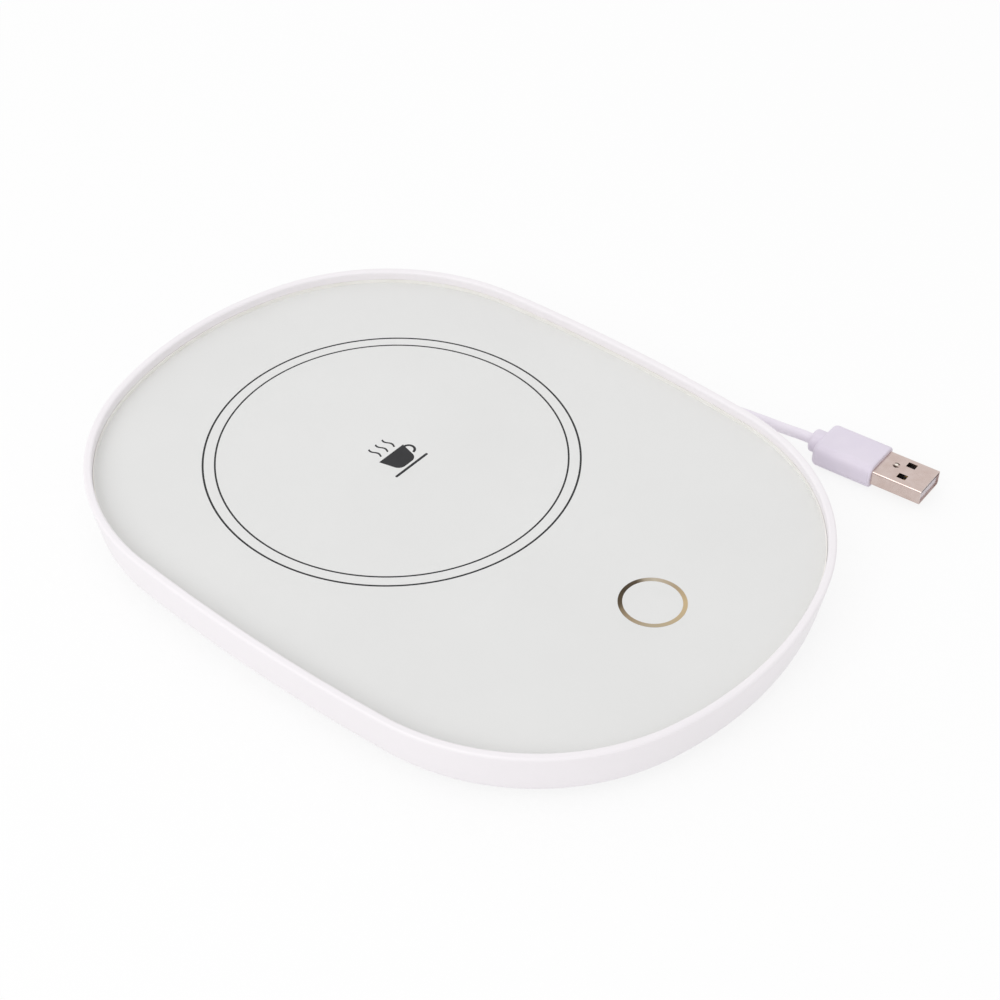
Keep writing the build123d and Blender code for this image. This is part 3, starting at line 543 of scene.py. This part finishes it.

# Hot-stamped metal foil: mirror-like, straw to bronze. Its tone round the ring is painted
# reflection: it turns from straw through a paler stretch to a dark olive one, which starts sharply.
gold_foil = new_finish("hot_stamped_foil", "#BBA98C", roughness=0.3, Metallic=1.0)
tree, shader, place = inside(gold_foil)
middle = add_node(tree, "ShaderNodeMapping", {"Vector": place, "Location": -key_centre})
fleck = add_node(tree, "ShaderNodeTexNoise", {
    "Vector": place, "Scale": 1 / (fleck_size * MM), "Detail": 2.0})
axes = add_node(tree, "ShaderNodeSeparateXYZ", {"Vector": middle.outputs[0]})
round_key = add_node(tree, "ShaderNodeMath", {0: axes.outputs["Y"], 1: axes.outputs["X"]},
                     operation="ARCTAN2")
share = add_node(tree, "ShaderNodeMapRange", {
    "Value": round_key.outputs[0], "From Min": -math.pi, "From Max": math.pi})
# Noise wobbles the painted reflection a little along the ring.
reflection_wobble = add_node(tree, "ShaderNodeMath", {
    0: fleck.outputs["Fac"], 1: fleck_share, 2: share.outputs[0]}, operation="MULTIPLY_ADD")
reflection_ramp = add_node(tree, "ShaderNodeValToRGB", {"Fac": reflection_wobble.outputs[0]})
band = reflection_ramp.color_ramp
band.elements[0].color = colour(wrap_reflection_tone)
band.elements[1].color = colour(wrap_reflection_tone)
for position, tone in painted_reflection_tones:
    band.elements.new(position).color = colour(tone)
tree.links.new(reflection_ramp.outputs["Color"], shader.inputs["Base Color"])
fit_piece(key_ring, gold_foil)
cast_no_shade(key_ring)

# ---------------------------------------------------------------------------
# Glass film: the die-cut double-sided tape that bonds the glass to the tray's deck. It is
# open over the heater and over the key's spring.
# ---------------------------------------------------------------------------
# Acrylic adhesive on a white polyester carrier: matt and a little uneven.
bond_film = new_finish("acrylic_bond_film", "#F6F4F0", roughness=0.6)
drift(bond_film, "#F4F2EE", "#F8F6F2", size_mm=6.0)
grain(bond_film, size_mm=0.3, depth_mm=0.01)
coat(bond_film, "glass_adhesive")

# ---------------------------------------------------------------------------
# Glass seal: an edging of white silicone moulded on the ground edge of the glass. It cushions
# the glass in the tray, and leaves a hair-fine groove at the foot of the rim.
# ---------------------------------------------------------------------------
seal_bite = 0.03
seal_width = 0.31

# A face counts as upright where its normal points up or down by less than this share.
upright_normal = 0.1
seal = copy_of_node("glass_panel", "glass_seal")
pick_faces(seal, lambda normal: abs(normal.z) < upright_normal)
keep_picked()
bpy.ops.transform.shrink_fatten(value=-seal_bite * MM)
bpy.ops.mesh.extrude_region_shrink_fatten(TRANSFORM_OT_shrink_fatten={"value": seal_width * MM})
close_piece()
bpy.ops.object.shade_smooth_by_angle(angle=math.radians(30))

# Cured silicone sealant: warm white, wiped smooth, with a soft sheen.
white_sealant = new_finish("cured_sealant", "#F3F1EC", roughness=0.45)
drift(white_sealant, "#F0EEE8", "#F5F3EF", size_mm=5.0)
grain(white_sealant, size_mm=1.5, depth_mm=0.02)
fit_piece(seal, white_sealant)

# ---------------------------------------------------------------------------
# Heating stack: an aluminium spreader plate under the glass, the etched-foil heater below it,
# a glass-felt pad, and a zinc-plated clamp that four screws pull up against the deck.
# ---------------------------------------------------------------------------
# Rolled aluminium sheet: silvery, with fine straight lines from the mill.
rolled_aluminium = new_finish("rolled_aluminium", "#C9CBCE", roughness=0.35, Metallic=1.0)
drift(rolled_aluminium, "#C2C4C8", "#D0D2D4", size_mm=12.0, stretch=(1, 0.08, 1))
grain(rolled_aluminium, size_mm=0.25, depth_mm=0.01, stretch=(1, 0.04, 1))
coat(rolled_aluminium, "heat_spreader")

# Polyimide film, amber and shiny, with a track of etched copper-nickel foil on its lower side.
# The track lies below a height of its own, which tells metal from film.
track_depth = 0.09


def change_tone(finish, axis, side, limit, tone):
    """Turns a finish to another tone on one side of a limit; returns a socket that is 1 there."""
    tree, shader, place = inside(finish)
    body = shader.inputs["Base Color"].links[0].from_socket
    axes = add_node(tree, "ShaderNodeSeparateXYZ", {"Vector": place})
    share = add_node(tree, "ShaderNodeMath", {0: axes.outputs[axis], 1: limit}, operation=side)
    split = add_node(tree, "ShaderNodeMix", {"Factor": share.outputs[0]}, data_type="RGBA")
    tree.links.new(body, split.inputs["A"])
    split.inputs["B"].default_value = colour(tone)
    tree.links.new(split.outputs["Result"], shader.inputs["Base Color"])
    return share.outputs[0]


def metal_below(finish, height, metal):
    """Turns a finish to bare metal below a height."""
    share = change_tone(finish, "Z", "LESS_THAN", height, metal)
    tree = finish.node_tree
    tree.links.new(share, tree.nodes["Principled BSDF"].inputs["Metallic"])


heater_film = new_finish("polyimide_and_foil", "#B5702A", roughness=0.28)
drift(heater_film, "#A96423", "#C07C33", size_mm=8.0, detail=2.0)
metal_below(heater_film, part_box("heater_foil")[0].z + track_depth * MM, "#C9A27E")
grain(heater_film, size_mm=3.0, depth_mm=0.01)
coat(heater_film, "heater_foil")

# Needled glass felt: dull off-white with a tangle of fine fibres.
glass_felt = new_finish("needled_glass_felt", "#E6E2D6", roughness=0.95, Sheen_Weight=0.3)
drift(glass_felt, "#DCD7C9", "#EEEBE0", size_mm=1.2, stretch=(1, 0.3, 1))
grain(glass_felt, size_mm=0.5, depth_mm=0.15, stretch=(0.3, 1, 1))
coat(glass_felt, "insulation_pad")

# Zinc-plated steel sheet: bluish grey, with spangles that differ a little in their gloss.
spangle_size = 3.0
zinc_plate = new_finish("zinc_plated_sheet", "#B4B8BD", roughness=0.34, Metallic=1.0)
tree, shader, place = inside(zinc_plate)
spangle = add_node(tree, "ShaderNodeTexVoronoi", {"Vector": place, "Scale": 1 / (spangle_size * MM)})
shade = add_node(tree, "ShaderNodeMapRange", {
    "Value": spangle.outputs["Color"], "To Min": 0.27, "To Max": 0.42})
tree.links.new(shade.outputs["Result"], shader.inputs["Roughness"])
drift(zinc_plate, "#AEB2B8", "#BCC0C4", size_mm=4.0)
coat(zinc_plate, "heater_clamp")

# ---------------------------------------------------------------------------
# Sensor and fuse: a glass-bead thermistor, which reaches the spreader through the pad's hole,
# and a one-shot thermal fuse in a tinned can that lies against the spreader.
# ---------------------------------------------------------------------------
# Drawn glass with a sooty chip inside: dark red-brown, wet-looking.
bead_glass = new_finish("sealed_bead_glass", "#5A2A1C", roughness=0.08, Coat_Weight=0.6)
drift(bead_glass, "#4A2016", "#6B3524", size_mm=0.8)
coat(bead_glass, "thermistor")

# Tinned brass, drawn: bright and pale, with slight rings from the drawing die.
tinned_can = new_finish("drawn_tinned_brass", "#CFCBC2", roughness=0.25, Metallic=1.0)
drift(tinned_can, "#C8C3B8", "#D6D3CB", size_mm=2.0, stretch=(3, 1, 1))
grain(tinned_can, size_mm=0.3, depth_mm=0.01, stretch=(3, 0.2, 0.2))
coat(tinned_can, "thermal_fuse")

# ---------------------------------------------------------------------------
# Control board: glass-epoxy laminate with green solder mask over etched copper, held by four
# screws. It carries the controller, the power stage, the sensing spring and a lamp.
# ---------------------------------------------------------------------------
board_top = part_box("control_board")[1].z
track_space = 2.54
copper_thickness = 0.035
leg_top = 0.14
cap_foot_top = 0.2

# Solder mask over copper: glossy green, lighter along the tracks that run on a 2.54 mm grid.
solder_mask = new_finish("masked_fr4", "#1F6B3E", roughness=0.3, Coat_Weight=0.4)
tree, shader, place = inside(solder_mask)
tracks = add_node(tree, "ShaderNodeTexBrick", {
    "Vector": place, "Scale": 1 / (2 * track_space * MM), "Mortar Size": 0.06, "Bias": 0.0,
    "Color1": colour("#1B6037"), "Color2": colour("#20683D"), "Mortar": colour("#35905A")})
relief = add_node(tree, "ShaderNodeBump", {
    "Height": tracks.outputs["Fac"], "Strength": 1.0, "Distance": copper_thickness * MM})
tree.links.new(tracks.outputs["Color"], shader.inputs["Base Color"])
tree.links.new(relief.outputs["Normal"], shader.inputs["Normal"])
coat(solder_mask, "control_board")

# Moulded epoxy: dull charcoal with a sandy skin; the legs are tinned copper.
chip_epoxy = new_finish("moulded_epoxy", "#26262A", roughness=0.6)
drift(chip_epoxy, "#222226", "#2C2C30", size_mm=1.0)
grain(chip_epoxy, size_mm=0.15, depth_mm=0.01)
metal_below(chip_epoxy, board_top + leg_top * MM, "#C9C8C4")
coat(chip_epoxy, "microcontroller", "power_transistor", "resistors")

# Fired barium titanate: tan and chalky, with a tinned foot.
fired_ceramic = new_finish("fired_titanate", "#B79C77", roughness=0.55)
drift(fired_ceramic, "#AD916C", "#C1A785", size_mm=0.8)
grain(fired_ceramic, size_mm=0.2, depth_mm=0.01)
metal_below(fired_ceramic, board_top + cap_foot_top * MM, "#CFCDC8")
coat(fired_ceramic, "capacitors")

# Cast clear epoxy over a white reflector: milky, and glossy on top.
lamp_lens = new_finish("cast_lamp_epoxy", "#EFEBD8", roughness=0.15, Coat_Weight=0.5)
drift(lamp_lens, "#E9E3C9", "#F4F1E4", size_mm=0.5)
coat(lamp_lens, "status_led")

# Gold-plated spring wire: warm yellow metal with a fine skin from drawing.
gold_wire = new_finish("gold_plated_wire", "#D9B45E", roughness=0.2, Metallic=1.0)
drift(gold_wire, "#D3AC52", "#E0BE70", size_mm=1.5)
grain(gold_wire, size_mm=0.12, depth_mm=0.004)
coat(gold_wire, "touch_spring")

# ---------------------------------------------------------------------------
# Leads: thin insulated wires between the heater, the sensor, the cord and the board. Silicone
# rubber covers those that get warm, and PVC the cord's two cores.
# ---------------------------------------------------------------------------
supply_middle_x = (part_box("supply_leads")[0].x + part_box("supply_leads")[1].x) / 2

# Extruded silicone rubber: dull and slightly dusty. The heater's and sensor's leads are white.
lead_rubber = new_finish("extruded_silicone", "#DDD9CF", roughness=0.6)
drift(lead_rubber, "#D5D1C6", "#E4E1D8", size_mm=3.0)
grain(lead_rubber, size_mm=0.2, depth_mm=0.01)
coat(lead_rubber, "heater_leads", "sensor_leads")

# The cord's two cores in PVC: one red and one black, told apart by their side.
core_red = "#A6231E"
core_black = "#1E1E20"
core_pvc = new_finish("extruded_core_pvc", core_red, roughness=0.4)
tree, shader, place = inside(core_pvc)
axes = add_node(tree, "ShaderNodeSeparateXYZ", {"Vector": place})
side = add_node(tree, "ShaderNodeMath", {0: axes.outputs["X"], 1: supply_middle_x},
                operation="GREATER_THAN")
cores = add_node(tree, "ShaderNodeMix", {"Factor": side.outputs[0]}, data_type="RGBA")
cores.inputs["A"].default_value = colour(core_black)
cores.inputs["B"].default_value = colour(core_red)
tree.links.new(cores.outputs["Result"], shader.inputs["Base Color"])
grain(core_pvc, size_mm=0.2, depth_mm=0.01)
coat(core_pvc, "supply_leads")

# ---------------------------------------------------------------------------
# Base cover: a moulded ABS plate with ribs inside, set into the tray's underside and held by
# six screws, four of them hidden by the feet.
# ---------------------------------------------------------------------------
# ABS from a spark-eroded tool: the same white, matt, with an even sandy texture that hides
# scuffs. The texture is drawn at 0.5 mm, coarser than the real 0.1 mm, so that it shows.
base_abs = new_finish("spark_textured_abs", "#EDEAED", roughness=0.55)
drift(base_abs, "#EAE7EA", "#F0EDF0", size_mm=22.0)
grain(base_abs, size_mm=0.5, depth_mm=0.03)
coat(base_abs, "bottom_cover")

# ---------------------------------------------------------------------------
# Cover screws: six pan-head screws with a cross recess, driven up through the base cover into
# the tray's bosses.
# ---------------------------------------------------------------------------
head_radius = 1.9
recess_width = 0.62
recess_length = 2.3
recess_depth = 0.75
recess_taper = 0.55
head_edge = 0.35
head_spacing = 2.2
head_reach = 2.1
face_slack = 0.01
screw_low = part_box("cover_screws")[0].z


def cross_recess(x, y, low):
    """A cross-shaped cutter that narrows upwards, for a screw head seen from below."""
    arms = []
    for width, length in ((recess_width, recess_length), (recess_length, recess_width)):
        bpy.ops.object.select_all(action="DESELECT")
        bpy.ops.mesh.primitive_cube_add(size=1.0, location=(x, y, low))
        arm = bpy.context.object
        arm.scale = (width * MM, length * MM, 2 * recess_depth * MM)
        bpy.ops.object.transform_apply(location=True, rotation=True, scale=True)
        pick_faces(arm, lambda normal: normal.z > level_normal)
        bpy.ops.transform.resize(value=(recess_taper, recess_taper, 1))
        bpy.ops.object.mode_set(mode="OBJECT")
        arms.append(arm)
    apply_boolean(arms[0], arms[1], "UNION")
    return arms[0]


# The middle of a head is the mean of its lowest points, which lie within its reach.
screws = copy_of_node("cover_screws", "cover_screw_set")
low_points = [point.co for point in screws.data.vertices
              if point.co.z < screw_low + face_slack * MM]
places = []
for point in low_points:
    if all((point.xy - place).length > head_spacing * head_radius * MM for place in places):
        near = [other.xy for other in low_points
                if (other.xy - point.xy).length < head_reach * head_radius * MM]
        places.append(sum(near, Vector((0.0, 0.0))) / len(near))
round_edges(screws, head_edge * MM, segments=4, sharp=60)
for place in places:
    apply_boolean(screws, cross_recess(place.x, place.y, screw_low), "DIFFERENCE")
bpy.ops.object.shade_smooth_by_angle(angle=math.radians(35))

# Nickel-plated steel, cold-headed: bright grey with fine scratches from the driver.
screw_steel = new_finish("nickelled_screw_steel", "#B5B3AF", roughness=0.28, Metallic=1.0)
drift(screw_steel, "#ADABA7", "#BDBBB8", size_mm=1.0)
grain(screw_steel, size_mm=0.2, depth_mm=0.006, stretch=(1, 0.2, 1))
coat(screw_steel, "clamp_screws", "board_screws", "cord_clamp_screws")
fit_piece(screws, screw_steel)
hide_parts("cover_screws")

# ---------------------------------------------------------------------------
# Feet: four domed pads of silicone rubber, pressed into recesses in the base cover. They
# stand the tray high enough for the wound cord.
# ---------------------------------------------------------------------------
# Compression-moulded silicone: greyish white, slightly see-through and grippy, with a little
# dust in its skin.
foot_rubber = new_finish("moulded_silicone", "#DADADC", roughness=0.5,
                         Subsurface_Weight=0.15, Subsurface_Scale=0.002)
drift(foot_rubber, "#D4D4D6", "#E0E0E2", size_mm=4.0)
grain(foot_rubber, size_mm=0.4, depth_mm=0.015)
gloss_patches(foot_rubber, low=0.42, high=0.62, size_mm=3.0)
coat(foot_rubber, "foot_front_left", "foot_front_right", "foot_rear_left", "foot_rear_right")

# ---------------------------------------------------------------------------
# Cord entry: a tapered PVC grommet in a pocket of the base, and inside it a nylon bar that
# two screws press on the cord.
# ---------------------------------------------------------------------------
# Moulded soft PVC: the cord's colour, a shade greyer and more matt.
grommet_pvc = new_finish("moulded_soft_pvc", "#DFD7E6", roughness=0.48)
drift(grommet_pvc, "#DBD3E2", "#E3DBE9", size_mm=4.0)
grain(grommet_pvc, size_mm=0.4, depth_mm=0.015)
coat(grommet_pvc, "cord_grommet")

# Moulded nylon: natural ivory, faintly waxy.
natural_nylon = new_finish("moulded_nylon", "#E3DFD0", roughness=0.42)
drift(natural_nylon, "#DED9C8", "#E8E5D8", size_mm=3.0)
grain(natural_nylon, size_mm=0.3, depth_mm=0.01)
coat(natural_nylon, "cord_clamp")

# ---------------------------------------------------------------------------
# Plug: a USB-A plug. A soft PVC grip is moulded over the cord and over the back of a folded
# steel shell, which holds a plastic tongue with four contacts.
# ---------------------------------------------------------------------------
# Overmoulded PVC: lavender white as the cord, with a fine satin skin.
grip_pvc = new_finish("overmoulded_pvc", "#E2DAE7", roughness=0.42)
drift(grip_pvc, "#E0D8E6", "#E4DCE9", size_mm=7.0)
grain(grip_pvc, size_mm=0.45, depth_mm=0.012)
gloss_patches(grip_pvc, low=0.36, high=0.48, size_mm=4.0)
coat(grip_pvc, "plug_grip")

# Nickel-plated steel strip, folded: warm bright grey with fine lines from the rolling mill.
shell_tone = "#CDBBB4"
shell_steel = new_finish("nickelled_steel_strip", shell_tone, roughness=0.22, Metallic=1.0)
drift(shell_steel, "#C9B6AF", "#D1C0BA", size_mm=3.0)
grain(shell_steel, size_mm=0.2, depth_mm=0.003, stretch=(1, 0.1, 1))
gloss_patches(shell_steel, low=0.16, high=0.3, size_mm=2.0)
coat(shell_steel, "plug_shell")

# The shell is welded to its insert through the top: a small domed nugget in a sunken patch.
# Each of its steps goes inwards and then up or down, from the rim to the middle.
weld_place = Vector((92.16, -77.64, 6.2)) * MM
weld_up = Vector((0.087, 0.008, 0.996))
weld_radius = 1.0
weld_sides = 48
weld_skirt = 0.09
weld_steps = ((0.1, 0.02), (0.14, -0.05), (0.14, -0.03), (0.08, 0.1), (0.1, 0.09),
              (0.12, 0.04), (0.12, 0.01))
highlight_edge = (0.46, 0.54)
painted_shade_from = (0.3, 0.55)
bpy.ops.object.select_all(action="DESELECT")
bpy.ops.mesh.primitive_circle_add(vertices=weld_sides, radius=weld_radius * MM, fill_type="NGON")
weld = bpy.context.object
weld.name = "plug_weld"
bpy.ops.object.mode_set(mode="EDIT")
bpy.ops.mesh.select_mode(type="FACE")
bpy.ops.mesh.select_all(action="SELECT")
bpy.ops.mesh.extrude_region_move(TRANSFORM_OT_translate={"value": (0, 0, weld_skirt * MM)})
for step_in, rise in weld_steps:
    bpy.ops.mesh.inset(thickness=step_in * MM)
    bpy.ops.transform.translate(value=(0, 0, rise * MM))
close_piece()
bpy.ops.object.shade_smooth_by_angle(angle=math.radians(40))
weld_turn = weld_up.to_track_quat("Z", "Y").to_matrix().to_4x4()
weld.matrix_world = Matrix.Translation(weld_place) @ weld_turn
bpy.ops.object.transform_apply(location=True, rotation=True, scale=True)

# Steel of the weld: a painted highlight, near white, on the nugget, and painted shade, dark brown,
# on its two sides.
weld_steel = new_finish("weld_steel_painted_light", "#5A4A40", roughness=0.3, Metallic=1.0)
tree, shader, place = inside(weld_steel)
from_middle = add_node(tree, "ShaderNodeVectorMath", {0: place, 1: weld_place}, operation="SUBTRACT")
axes = add_node(tree, "ShaderNodeSeparateXYZ", {"Vector": from_middle.outputs[0]})
along = add_node(tree, "ShaderNodeMath", {0: axes.outputs["X"]}, operation="ABSOLUTE")
radius = add_node(tree, "ShaderNodeVectorMath", {0: from_middle.outputs[0]}, operation="LENGTH")
# Painted highlight: near white within the middle of the nugget.
off_highlight = add_node(tree, "ShaderNodeMapRange", {
    "Value": radius.outputs["Value"], "From Min": highlight_edge[0] * MM,
    "From Max": highlight_edge[1] * MM})
# Painted shade: dark brown on the two sides, beyond the middle.
sides = add_node(tree, "ShaderNodeMapRange", {
    "Value": along.outputs[0], "From Min": painted_shade_from[0] * MM,
    "From Max": painted_shade_from[1] * MM})
painted_shade_share = add_node(tree, "ShaderNodeMath", {0: off_highlight.outputs[0], 1: sides.outputs[0]}, operation="MULTIPLY")
highlight_mix = add_node(tree, "ShaderNodeMix", {"Factor": off_highlight.outputs[0]}, data_type="RGBA")
highlight_mix.inputs["A"].default_value = colour("#F4EDE2")
highlight_mix.inputs["B"].default_value = colour(shell_tone)
painted_shade_mix = add_node(tree, "ShaderNodeMix", {"Factor": painted_shade_share.outputs[0]}, data_type="RGBA")
tree.links.new(highlight_mix.outputs["Result"], painted_shade_mix.inputs["A"])
painted_shade_mix.inputs["B"].default_value = colour("#56483E")
tree.links.new(painted_shade_mix.outputs["Result"], shader.inputs["Base Color"])
fit_piece(weld, weld_steel)

# Glass-filled polyester: pale lavender grey at the mouth. Behind it, where it holds the contacts
# inside the shell, it is painted dark and dull as painted shade.
shade_free_depth = 2.6
tongue_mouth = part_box("plug_tongue")[0].y
tongue_polyester = new_finish("moulded_polyester", "#DCD3D8", roughness=0.5)
drift(tongue_polyester, "#D7CED3", "#E0D8DC", size_mm=1.5)
# Painted shade: dark brown-grey beyond a depth from the mouth, inside the shell.
change_tone(tongue_polyester, "Y", "GREATER_THAN", tongue_mouth + shade_free_depth * MM, "#2A2426")
grain(tongue_polyester, size_mm=0.15, depth_mm=0.008)
coat(tongue_polyester, "plug_tongue")

# Flash-gold on phosphor bronze, stamped: yellow metal, a little uneven, with fine lines.
contact_gold = new_finish("gold_flashed_bronze", "#D8B25A", roughness=0.24, Metallic=1.0)
drift(contact_gold, "#CFA548", "#E2C072", size_mm=0.8)
grain(contact_gold, size_mm=0.15, depth_mm=0.004, stretch=(1, 0.1, 1))
coat(contact_gold, "plug_contacts")

# ---------------------------------------------------------------------------
# Studio: a pale paper floor, a soft lamp from the left, a weaker one from behind and an even
# bright sky, so that white pieces keep their shape by small steps of shade.
# ---------------------------------------------------------------------------
sky_light = 0.82
paper_shade = 0.93
paper_white = 0.84
floor_size = 6.0

world = bpy.data.worlds.new("studio")
bpy.context.scene.world = world
world.use_nodes = True
sky = world.node_tree
sky.nodes.clear()


def seen_ray(tree):
    """A socket that is 1 for rays that show a background: camera, glossy and transmitted."""
    rays = add_node(tree, "ShaderNodeLightPath")
    glossy = add_node(tree, "ShaderNodeMath", {
        0: rays.outputs["Is Camera Ray"], 1: rays.outputs["Is Glossy Ray"]}, operation="MAXIMUM")
    clear = add_node(tree, "ShaderNodeMath", {
        0: glossy.outputs[0], 1: rays.outputs["Is Transmission Ray"]}, operation="MAXIMUM")
    return clear.outputs[0]


strength = add_node(sky, "ShaderNodeMapRange", {
    "Value": seen_ray(sky), "To Min": sky_light, "To Max": 1.0})
light = add_node(sky, "ShaderNodeBackground", {"Color": (1, 1, 1, 1), "Strength": strength.outputs[0]})
add_node(sky, "ShaderNodeOutputWorld", {"Surface": light.outputs[0]})

bpy.ops.object.select_all(action="DESELECT")
bpy.ops.mesh.primitive_plane_add(size=floor_size, location=(0, 0, 0))
floor = bpy.context.object
floor.name = "floor"
paper = bpy.data.materials.new("floor_paper")
paper.use_nodes = True
tree = paper.node_tree
tree.nodes.clear()
white_share = add_node(tree, "ShaderNodeMath", {0: seen_ray(tree), 1: paper_white}, operation="MULTIPLY")
matt = add_node(tree, "ShaderNodeBsdfDiffuse", {"Color": (paper_shade, paper_shade, paper_shade, 1)})
glow = add_node(tree, "ShaderNodeEmission", {"Color": (1, 1, 1, 1), "Strength": 1.0})
surface = add_node(tree, "ShaderNodeMixShader", {
    0: white_share.outputs[0], 1: matt.outputs[0], 2: glow.outputs[0]})
add_node(tree, "ShaderNodeOutputMaterial", {"Surface": surface.outputs[0]})
floor.data.materials.append(paper)


def lamp(name, place, size, power, mirrored):
    """A soft square lamp that points at the object, seen in glossy pieces or not."""
    data = bpy.data.lights.new(name, "AREA")
    data.size = size
    data.energy = power
    holder = bpy.data.objects.new(name, data)
    bpy.context.scene.collection.objects.link(holder)
    holder.visible_glossy = mirrored
    aim = (-Vector(place)).to_track_quat("-Z", "Y").to_matrix().to_4x4()
    holder.matrix_world = Matrix.Translation(Vector(place)) @ aim


lamp("key_lamp", (-0.93, 0.0, 0.94), size=0.9, power=4.6, mirrored=True)
lamp("fill_lamp", (0.5, 0.9, 1.1), size=1.0, power=1.0, mirrored=False)

bpy.context.scene.view_settings.view_transform = "Standard"
